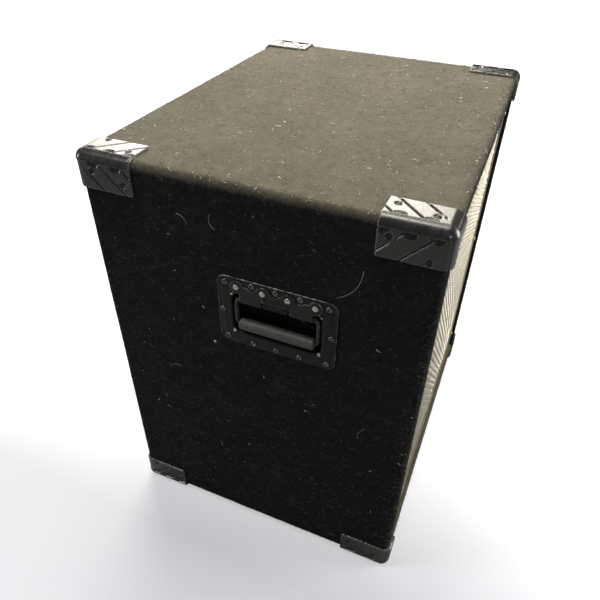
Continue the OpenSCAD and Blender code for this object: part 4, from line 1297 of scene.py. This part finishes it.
def dish_part():
    """Flange and pan as one pressed sheet."""
    counts = dict(n_w=110, n_h=60, n_arc=14)
    open_h = OPEN_HIGH - OPEN_LOW
    open_mid = (OPEN_HIGH + OPEN_LOW) / 2
    flange = rounded_loop(FLANGE_L - 1, FLANGE_H - 1, 11.5, **counts)
    mouth = rounded_loop(OPEN_L + 5, open_h + 5, 12.5, **counts) + (0, open_mid)
    rings = [at_level(rounded_loop(FLANGE_L, FLANGE_H, 12, **counts), z) for z in (0.0, SHEET - 0.5)]
    for f in np.linspace(0, 1, 22):
        loop = flange * (1 - f) + mouth * f
        rings.append(np.c_[loop, SHEET + flange_relief(loop[:, 0], loop[:, 1]) * smoothstep(0, 0.08, f)])
    crown = SHEET + 0.85
    for dx, dz in arc(0, 0, 2.5, 90, 0, 7)[1:]:
        loop = rounded_loop(OPEN_L + 5 - 2 * dx, open_h + 5 - 2 * dx, 12.5 - dx, **counts) + (0, open_mid)
        rings.append(at_level(loop, crown - 2.5 + dz))
    for depth, shrink in ((-6, 0.0), (-12, 0.2), (-18, 0.4), (-DISH_DEPTH + 6, 0.6)):
        loop = rounded_loop(OPEN_L - 2 * shrink, open_h - 2 * shrink, 10 - shrink, **counts) + (0, open_mid)
        rings.append(at_level(loop, depth))
    bend = 5.0
    for dx, dz in arc(0, 0, bend, 180, 270, 7)[1:]:
        shrink = 0.6 + bend + dx
        loop = rounded_loop(OPEN_L - 2 * shrink, open_h - 2 * shrink, 10 - min(shrink, 9), **counts)
        rings.append(at_level(loop + (0, open_mid), -DISH_DEPTH + 1.2 + bend + dz))
    last = rings[-1]
    for f in (0.7, 0.4, 0.15, 0.02):
        loop = last.copy()
        loop[:, 0] *= f
        loop[:, 1] = open_mid + (loop[:, 1] - open_mid) * f
        rings.append(loop)
    verts, faces = loft(rings, caps=False)
    grid = np.array(rings)
    d_ring = np.gradient(grid, axis=0)
    d_loop = np.roll(grid, -1, 1) - np.roll(grid, 1, 1)
    normal = np.cross(d_ring, d_loop).reshape(-1, 3)
    normal /= np.maximum(np.linalg.norm(normal, axis=1), 1e-9)[:, None]
    if normal[len(rings[0]) * 10, 2] < 0:
        normal = -normal
    thickness = 1.1
    inner = verts - normal * thickness
    inner[: len(rings[0]), 2] = 0.05
    # the smallest loop stays open as a tiny drain hole
    return thick_sheet(verts, inner, np.array(faces))


def strap_outline(x, s):
    """Signed distance to the flattened strap; s runs from the hinge line up to the rivets."""
    band = box_distance(x, s - 17.0, 119, 12, 2)
    leaf = box_distance(x, s + 1.0, 100, 37, 1.5)
    d = np.minimum(band, leaf)
    for rx in RIVETS:
        d = np.minimum(d, np.hypot(x - rx, s + HINGE_Y - RIVET_Y) - 9)
    for sx, sy in RING_SCREWS:
        d = np.maximum(d, 6.2 - np.hypot(x - sx, s + HINGE_Y - sy))
    return np.maximum(d, -box_distance(x, s + 7.5, 40, 26, 2))


def strap_part():
    """The hinge strap: a plate over the flange whose lower edge rolls round the rod."""
    xs = np.linspace(-62.4, 62.4, 157)
    ss = np.linspace(-20.0, 31.2, 65)
    x, s = [g.ravel() for g in np.meshgrid(xs, ss, indexing="ij")]
    quads = grid_quads(len(xs), len(ss))
    middle = (x[quads].mean(1), s[quads].mean(1))
    quads = quads[strap_outline(*middle) < 0]
    edge = np.zeros(len(x), bool)
    pairs = np.sort(np.concatenate([quads[:, [k, (k + 1) % 4]] for k in range(4)]), axis=1)
    found, times = np.unique(pairs, axis=0, return_counts=True)
    edge[found[times == 1].ravel()] = True
    for _ in range(3):
        d = strap_outline(x, s)
        gx = (strap_outline(x + 0.05, s) - strap_outline(x - 0.05, s)) / 0.1
        gs = (strap_outline(x, s + 0.05) - strap_outline(x, s - 0.05)) / 0.1
        size = np.maximum(gx * gx + gs * gs, 0.2)
        x = np.where(edge, x - np.clip(d * gx / size, -0.3, 0.3), x)
        s = np.where(edge, s - np.clip(d * gs / size, -0.3, 0.3), s)
    turn = np.maximum(-s, 0) / (BARREL_R - STRAP_T / 2)
    rib = np.hypot(np.maximum(np.abs(x) - 15, 0), s - 10)
    lift = 1.9 * (1 - smoothstep(1.0, 5.2, rib))
    rivet = np.min([np.hypot(x - rx, s + HINGE_Y - RIVET_Y) for rx in RIVETS], axis=0)
    lift = lift + 0.35 * (1 - smoothstep(5.2, 6.4, rivet))
    roll_off = 0.35 * smoothstep(-0.9, 0.0, strap_outline(x, s))

    def at(radius):
        y = HINGE_Y - radius * np.sin(turn) + np.maximum(s, 0)
        return np.c_[x, y, HINGE_Z + radius * np.cos(turn)]

    return thick_sheet(at(BARREL_R + lift - roll_off), at(BARREL_R - STRAP_T + 0.9 * lift), quads)


def spring_part():
    """A torsion spring round the hinge rod, with one leg under the strap and one on the dish."""
    turns, half, r, wire = 13, 16.5, 4.35, 0.8
    a = np.linspace(0, 2 * math.pi * turns, turns * 20)
    coil = np.c_[np.linspace(-half, half, len(a)), HINGE_Y + r * np.cos(a), HINGE_Z + r * np.sin(a)]
    start = [(-half - 0.3, HINGE_Y + r + 4, HINGE_Z + 2.4), (-half - 0.2, HINGE_Y + r + 1, HINGE_Z + 1.6)]
    end = [(half + 0.2, HINGE_Y + r, HINGE_Z - 4), (half + 0.3, HINGE_Y + r, HINGE_Z - 14)]
    return tube(np.concatenate([start, coil, end]), wire, 8)


def bail_part():
    """One loop of steel rod: hinge rod at the top, arms, and the bottom rod inside the grip."""
    bend = 8.0
    loop = rounded_loop(2 * ARM_X, BAIL_LEN, bend, n_w=20, n_h=8, n_arc=9) + (0, HINGE_Y - BAIL_LEN / 2)
    return tube(np.c_[loop, np.full(len(loop), HINGE_Z)], ROD_R - 0.02, 16, closed=True)


def grip_part():
    """A moulded grip: slightly crowned, with rounded ends and a shallow band near each end."""
    half = 53.0
    t = np.linspace(-1, 1, 61)
    x = t * half
    r = GRIP_R - 0.25 * t * t - 0.12 * (1 + np.sin(9.0 * t + 0.7) * np.sin(23.0 * t))
    for place in (0.86, -0.86):
        r -= 0.5 * np.exp(-((t - place) / 0.02) ** 2)
    end = np.clip((half - np.abs(x)) / 2.6, 0, 1)
    r -= 2.6 * (1 - np.sqrt(np.clip(1 - (1 - end) ** 2, 0, 1)))
    profile = [(0.0, x[0])] + list(zip(r, x)) + [(0.0, x[-1])]
    turn = Matrix.Translation((0, HINGE_Y - BAIL_LEN, HINGE_Z)) @ Matrix.Rotation(math.pi / 2, 4, "Y")
    return moved(lathe_solid(profile, 48), turn)


def rivet_part(base):
    profile = [(0, base), (3.9, base), (4.0, base + 0.4), (3.7, base + 0.9), (2.9, base + 1.35),
               (1.6, base + 1.6), (0, base + 1.65)]
    tail = [(0, -1.3), (3.0, -1.3), (3.0, -0.3), (1.9, -0.2), (1.9, base + 0.2), (0, base + 0.2)]
    return join_parts([lathe_solid(profile, 32), lathe_solid(tail, 24)])


def build_handle(side, name):
    place = handle_matrix(side)
    body = name + "_handle"
    head = join_parts([pan_head(4.2, 2.0, SHEET - 0.05), shank(1.9, -12, SHEET)])
    screws = [moved(head, place @ Matrix.Translation((x, y, 0)) @ turned_by(rng.uniform(0, 90)))
              for x, y in RING_SCREWS]
    rivet = rivet_part(STRAP_TOP + 0.2)
    rivets = [moved(rivet, place @ Matrix.Translation((x, RIVET_Y, 0))) for x in RIVETS]
    # each row: the piece, its shape, its material, its body, the CAD node it stands for, its crease
    for label, part, material, rides_on, node, crease in (
            ("handle_pressing_", moved(dish_part(), place), "handle_steel", ROOT, "handle_dish_", 60),
            ("handle_hinge_strap_", moved(strap_part(), place), "hinge_steel", ROOT, "handle_strap_", 40),
            ("handle_coil_spring_", moved(spring_part(), place), "spring_steel", ROOT,
             "handle_spring_", None),
            ("handle_rivet_heads_", join_parts(rivets), "zinc_screw", ROOT, "handle_rivets_", 50),
            ("handle_screw_heads_", join_parts(screws), "black_screw", ROOT, "handle_screws_", 40),
            ("handle_rod_", moved(bail_part(), place), "hinge_steel", body, "handle_bail_", None),
            ("handle_moulded_grip_", moved(grip_part(), place), "grip_rubber", body, "handle_grip_", None)):
        piece(label + name, part, material, rides_on, [node + name], crease=crease)


build_handle(-1, "left")
build_handle(1, "right")

# ------------------------------------------------------------------ jack plate


def build_jack_plate():
    w, h = PLATE_HIGH[0] - PLATE_LOW[0], PLATE_HIGH[2] - PLATE_LOW[2]
    centre = ((PLATE_LOW[0] + PLATE_HIGH[0]) / 2, PLATE_LOW[1], (PLATE_LOW[2] + PLATE_HIGH[2]) / 2)
    place = Matrix.Translation(centre) @ Matrix.Rotation(math.pi, 4, "Z") @ FACE_FRONT
    piece("jack_plate_panel", moved(slab(w, h, 6, 0.0, 2.5, 0.5), place), "plate_metal", ROOT,
          ["jack_plate"], crease=40)
    head = join_parts([pan_head(4.2, 2.0, 2.5), shank(1.9, -12, 2.6)])
    corners = [(x * (w / 2 - 7), y * (h / 2 - 7)) for x in (-1, 1) for y in (-1, 1)]
    screws = [moved(head, place @ Matrix.Translation((x, y, 0)) @ turned_by(rng.uniform(0, 90)))
              for x, y in corners]
    piece("jack_screw_heads", join_parts(screws), "black_screw", ROOT, ["jack_plate_screws"], crease=40)
    nuts, bushes = [], []
    for x in (-38, 38):
        spot = place @ Matrix.Translation((x, 0, 0))
        flat = hexagon(7.0) * math.cos(math.pi / 6)
        levels = ((1.0, 2.5), (1.0, 4.4), (0.95, 4.9), (0.72, 5.0), (0.69, 4.2))
        rings = [ring(np.minimum(flat * grow, 7.0), len(flat), z) for grow, z in levels]
        nuts.append(moved(loft(rings), spot))
        nuts.append(moved(lathe([(4.9, 2.45), (8.6, 2.45), (8.6, 2.9), (8.2, 3.1), (4.9, 3.1)], 48), spot))
        bush = [(3.25, -19), (4.65, -19), (4.65, 5.2), (4.3, 5.9), (3.7, 6.0), (3.25, 5.4)]
        bushes.append(moved(lathe(bush, 48), spot))
    piece("jack_nuts", join_parts(nuts), "plated_steel", ROOT, crease=30)
    barrel = lathe([(9.5, -17.9), (12.0, -17.9), (12.0, 2.6), (9.6, 2.6), (9.5, 2.2)], 64)
    counts = dict(n_w=12, n_h=12, n_arc=8)
    rounds = []
    for w_out, r, z in ((31, 4, 2.55), (31, 4, 4.4), (30.2, 3.6, 5.0)):
        rounds.append(at_level(rounded_loop(w_out, w_out, r, **counts), z))
    hole = np.array(rounds[0][:, :2])
    hole /= np.linalg.norm(hole, axis=1)[:, None]
    for r, z in ((10.4, 5.0), (9.8, 4.7), (9.5, 4.0), (9.5, 2.6)):
        rounds.append(at_level(hole * r, z))
    collar = loft(rounds, closed_path=True)
    post = lathe_solid([(0, -17.9), (5.4, -17.9), (5.4, 1.2), (4.9, 2.0), (0, 2.1)], 32)
    floor = lathe_solid([(0, -18.9), (11.8, -18.9), (11.8, -17.8), (0, -17.8)], 48)
    key = slab(2.6, 4.2, 0.6, -17, 2.0, 0.3)
    keys = [moved(key, turned_by(degrees) @ Matrix.Translation((7.0, 0, 0))) for degrees in (80, 230)]
    socket = [moved(p, place) for p in (barrel, collar, post, floor, *keys)]
    piece("jack_socket_shells", join_parts(socket + bushes), "socket_plastic", ROOT, ["jack_sockets"],
          crease=35)


build_jack_plate()

# ------------------------------------------------------------------ floor, light and camera


FLOOR_GLOW = 0.32


def floor_material():
    """Pale floor with faint mottling. Its glow is seen by the camera only: weak near the cabinet,
    so that the shadow shows, and full white far away."""
    p = Paint("floor", Roughness=0.7, Specular_IOR_Level=0.1)
    mottle = p.noise(5, 4, 0.5)
    seen = p.tree.nodes.new("ShaderNodeLightPath").outputs["Is Camera Ray"]
    pale = p.ramp(mottle, (0.2, (0.40, 0.415, 0.47)), (0.8, (0.42, 0.435, 0.49)))
    away = p.tree.nodes.new("ShaderNodeVectorMath")
    away.operation = "LENGTH"
    p.feed(away.inputs[0], p.coords)
    distance = p.math("MULTIPLY", away.outputs["Value"], 0.25)
    split = p.tree.nodes.new("ShaderNodeSeparateXYZ")
    p.feed(split.inputs[0], p.coords)
    # painted light: the camera-only glow is stronger on the grille side of the room, so that no shadow
    # shows there, and weaker on the side the shadow falls on
    near = p.ramp(p.math("ADD", split.outputs["X"], 0.5), (0.12, FLOOR_GLOW), (0.45, 0.85))
    glow = p.blend(p.ramp(distance, (0.16, 0.0), (0.42, 1.0)), near, (1.0, 1.0, 1.0))
    p.set(Base_Color=p.blend(seen, (0.30, 0.30, 0.30), pale))
    p.set(Emission_Color=glow, Emission_Strength=seen)
    return p.mat


def build_stage():
    half = 40000.0
    floor = make_object("floor", [(-half, -half, 0), (half, -half, 0), (half, half, 0), (-half, half, 0)],
                        [(0, 1, 2, 3)], floor_material(), smooth=False)


def area_light(name, place, target, size, power, color):
    data = bpy.data.lights.new(name, "AREA")
    data.shape = "RECTANGLE"
    data.size, data.size_y = size
    data.energy = power
    data.color = color
    obj = bpy.data.objects.new(name, data)
    obj.location = place
    obj.rotation_euler = (Vector(target) - Vector(place)).to_track_quat("-Z", "Y").to_euler()
    bpy.context.scene.collection.objects.link(obj)


WORLD_GLOW = 0.07


def build_light():
    world = bpy.data.worlds.new("studio")
    bpy.context.scene.world = world
    world.use_nodes = True
    sky = world.node_tree.nodes["Background"]
    sky.inputs["Color"].default_value = (1.0, 1.0, 1.0, 1)
    # plain white behind the floor, but only a faint glow on the cabinet
    seen = world.node_tree.nodes.new("ShaderNodeLightPath")
    level = world.node_tree.nodes.new("ShaderNodeMath")
    level.operation = "MULTIPLY_ADD"
    level.inputs[1].default_value = 1 - WORLD_GLOW
    level.inputs[2].default_value = WORLD_GLOW
    world.node_tree.links.new(seen.outputs["Is Camera Ray"], level.inputs[0])
    world.node_tree.links.new(level.outputs[0], sky.inputs["Strength"])
    aim = (0, 0, 0.5)
    area_light("overhead_softbox", (0.25, 0.1, 2.6), aim, (1.5, 1.4), 15, (1.0, 0.95, 0.84))
    area_light("edge_strip", (-0.55, 0.6, 2.6), aim, (0.3, 1.7), 25, (1.0, 0.96, 0.86))
    area_light("back_softbox", (1.75, 0.85, 1.95), aim, (2.0, 1.3), 70, (1.0, 0.945, 0.82))
    area_light("low_back_window", (1.5, 1.35, 1.18), aim, (2.4, 0.8), 24, (1.0, 0.95, 0.84))
    area_light("front_fill", (0.75, -2.3, 1.1), aim, (1.2, 1.6), 50, (1.0, 0.97, 0.9))
    # two small windows that bring out the grooves and edges of the dark side
    area_light("rear_left_window", (-1.15, 2.3, 0.95), aim, (0.7, 0.7), 12, (0.75, 0.83, 1.0))
    area_light("front_left_window", (-2.4, -1.75, 1.45), aim, (0.6, 0.6), 6, (0.85, 0.9, 1.0))


# the lens is given as a share of the sensor's width
CAMERA_PLACE = Vector((-0.7893, -0.2692, 0.9393))
CAMERA_FORWARD = Vector((0.7306, 0.2962, -0.6152))
CAMERA_ROLL = 0.0212
FOCAL_OF_WIDTH = 0.9382
CENTRE_SHIFT = (0.0, -0.0039)


def build_camera():
    data = bpy.data.cameras.new("camera")
    data.sensor_width = 36
    data.lens = 36 * FOCAL_OF_WIDTH
    data.shift_x, data.shift_y = CENTRE_SHIFT
    camera = bpy.data.objects.new("camera", data)
    aim = CAMERA_FORWARD.to_track_quat("-Z", "Y").to_matrix().to_4x4()
    camera.matrix_world = Matrix.Translation(CAMERA_PLACE) @ aim @ Matrix.Rotation(CAMERA_ROLL, 4, "Z")
    bpy.context.scene.collection.objects.link(camera)
    bpy.context.scene.camera = camera


build_stage()
build_light()
build_camera()
bpy.context.scene.view_settings.view_transform = "Standard"
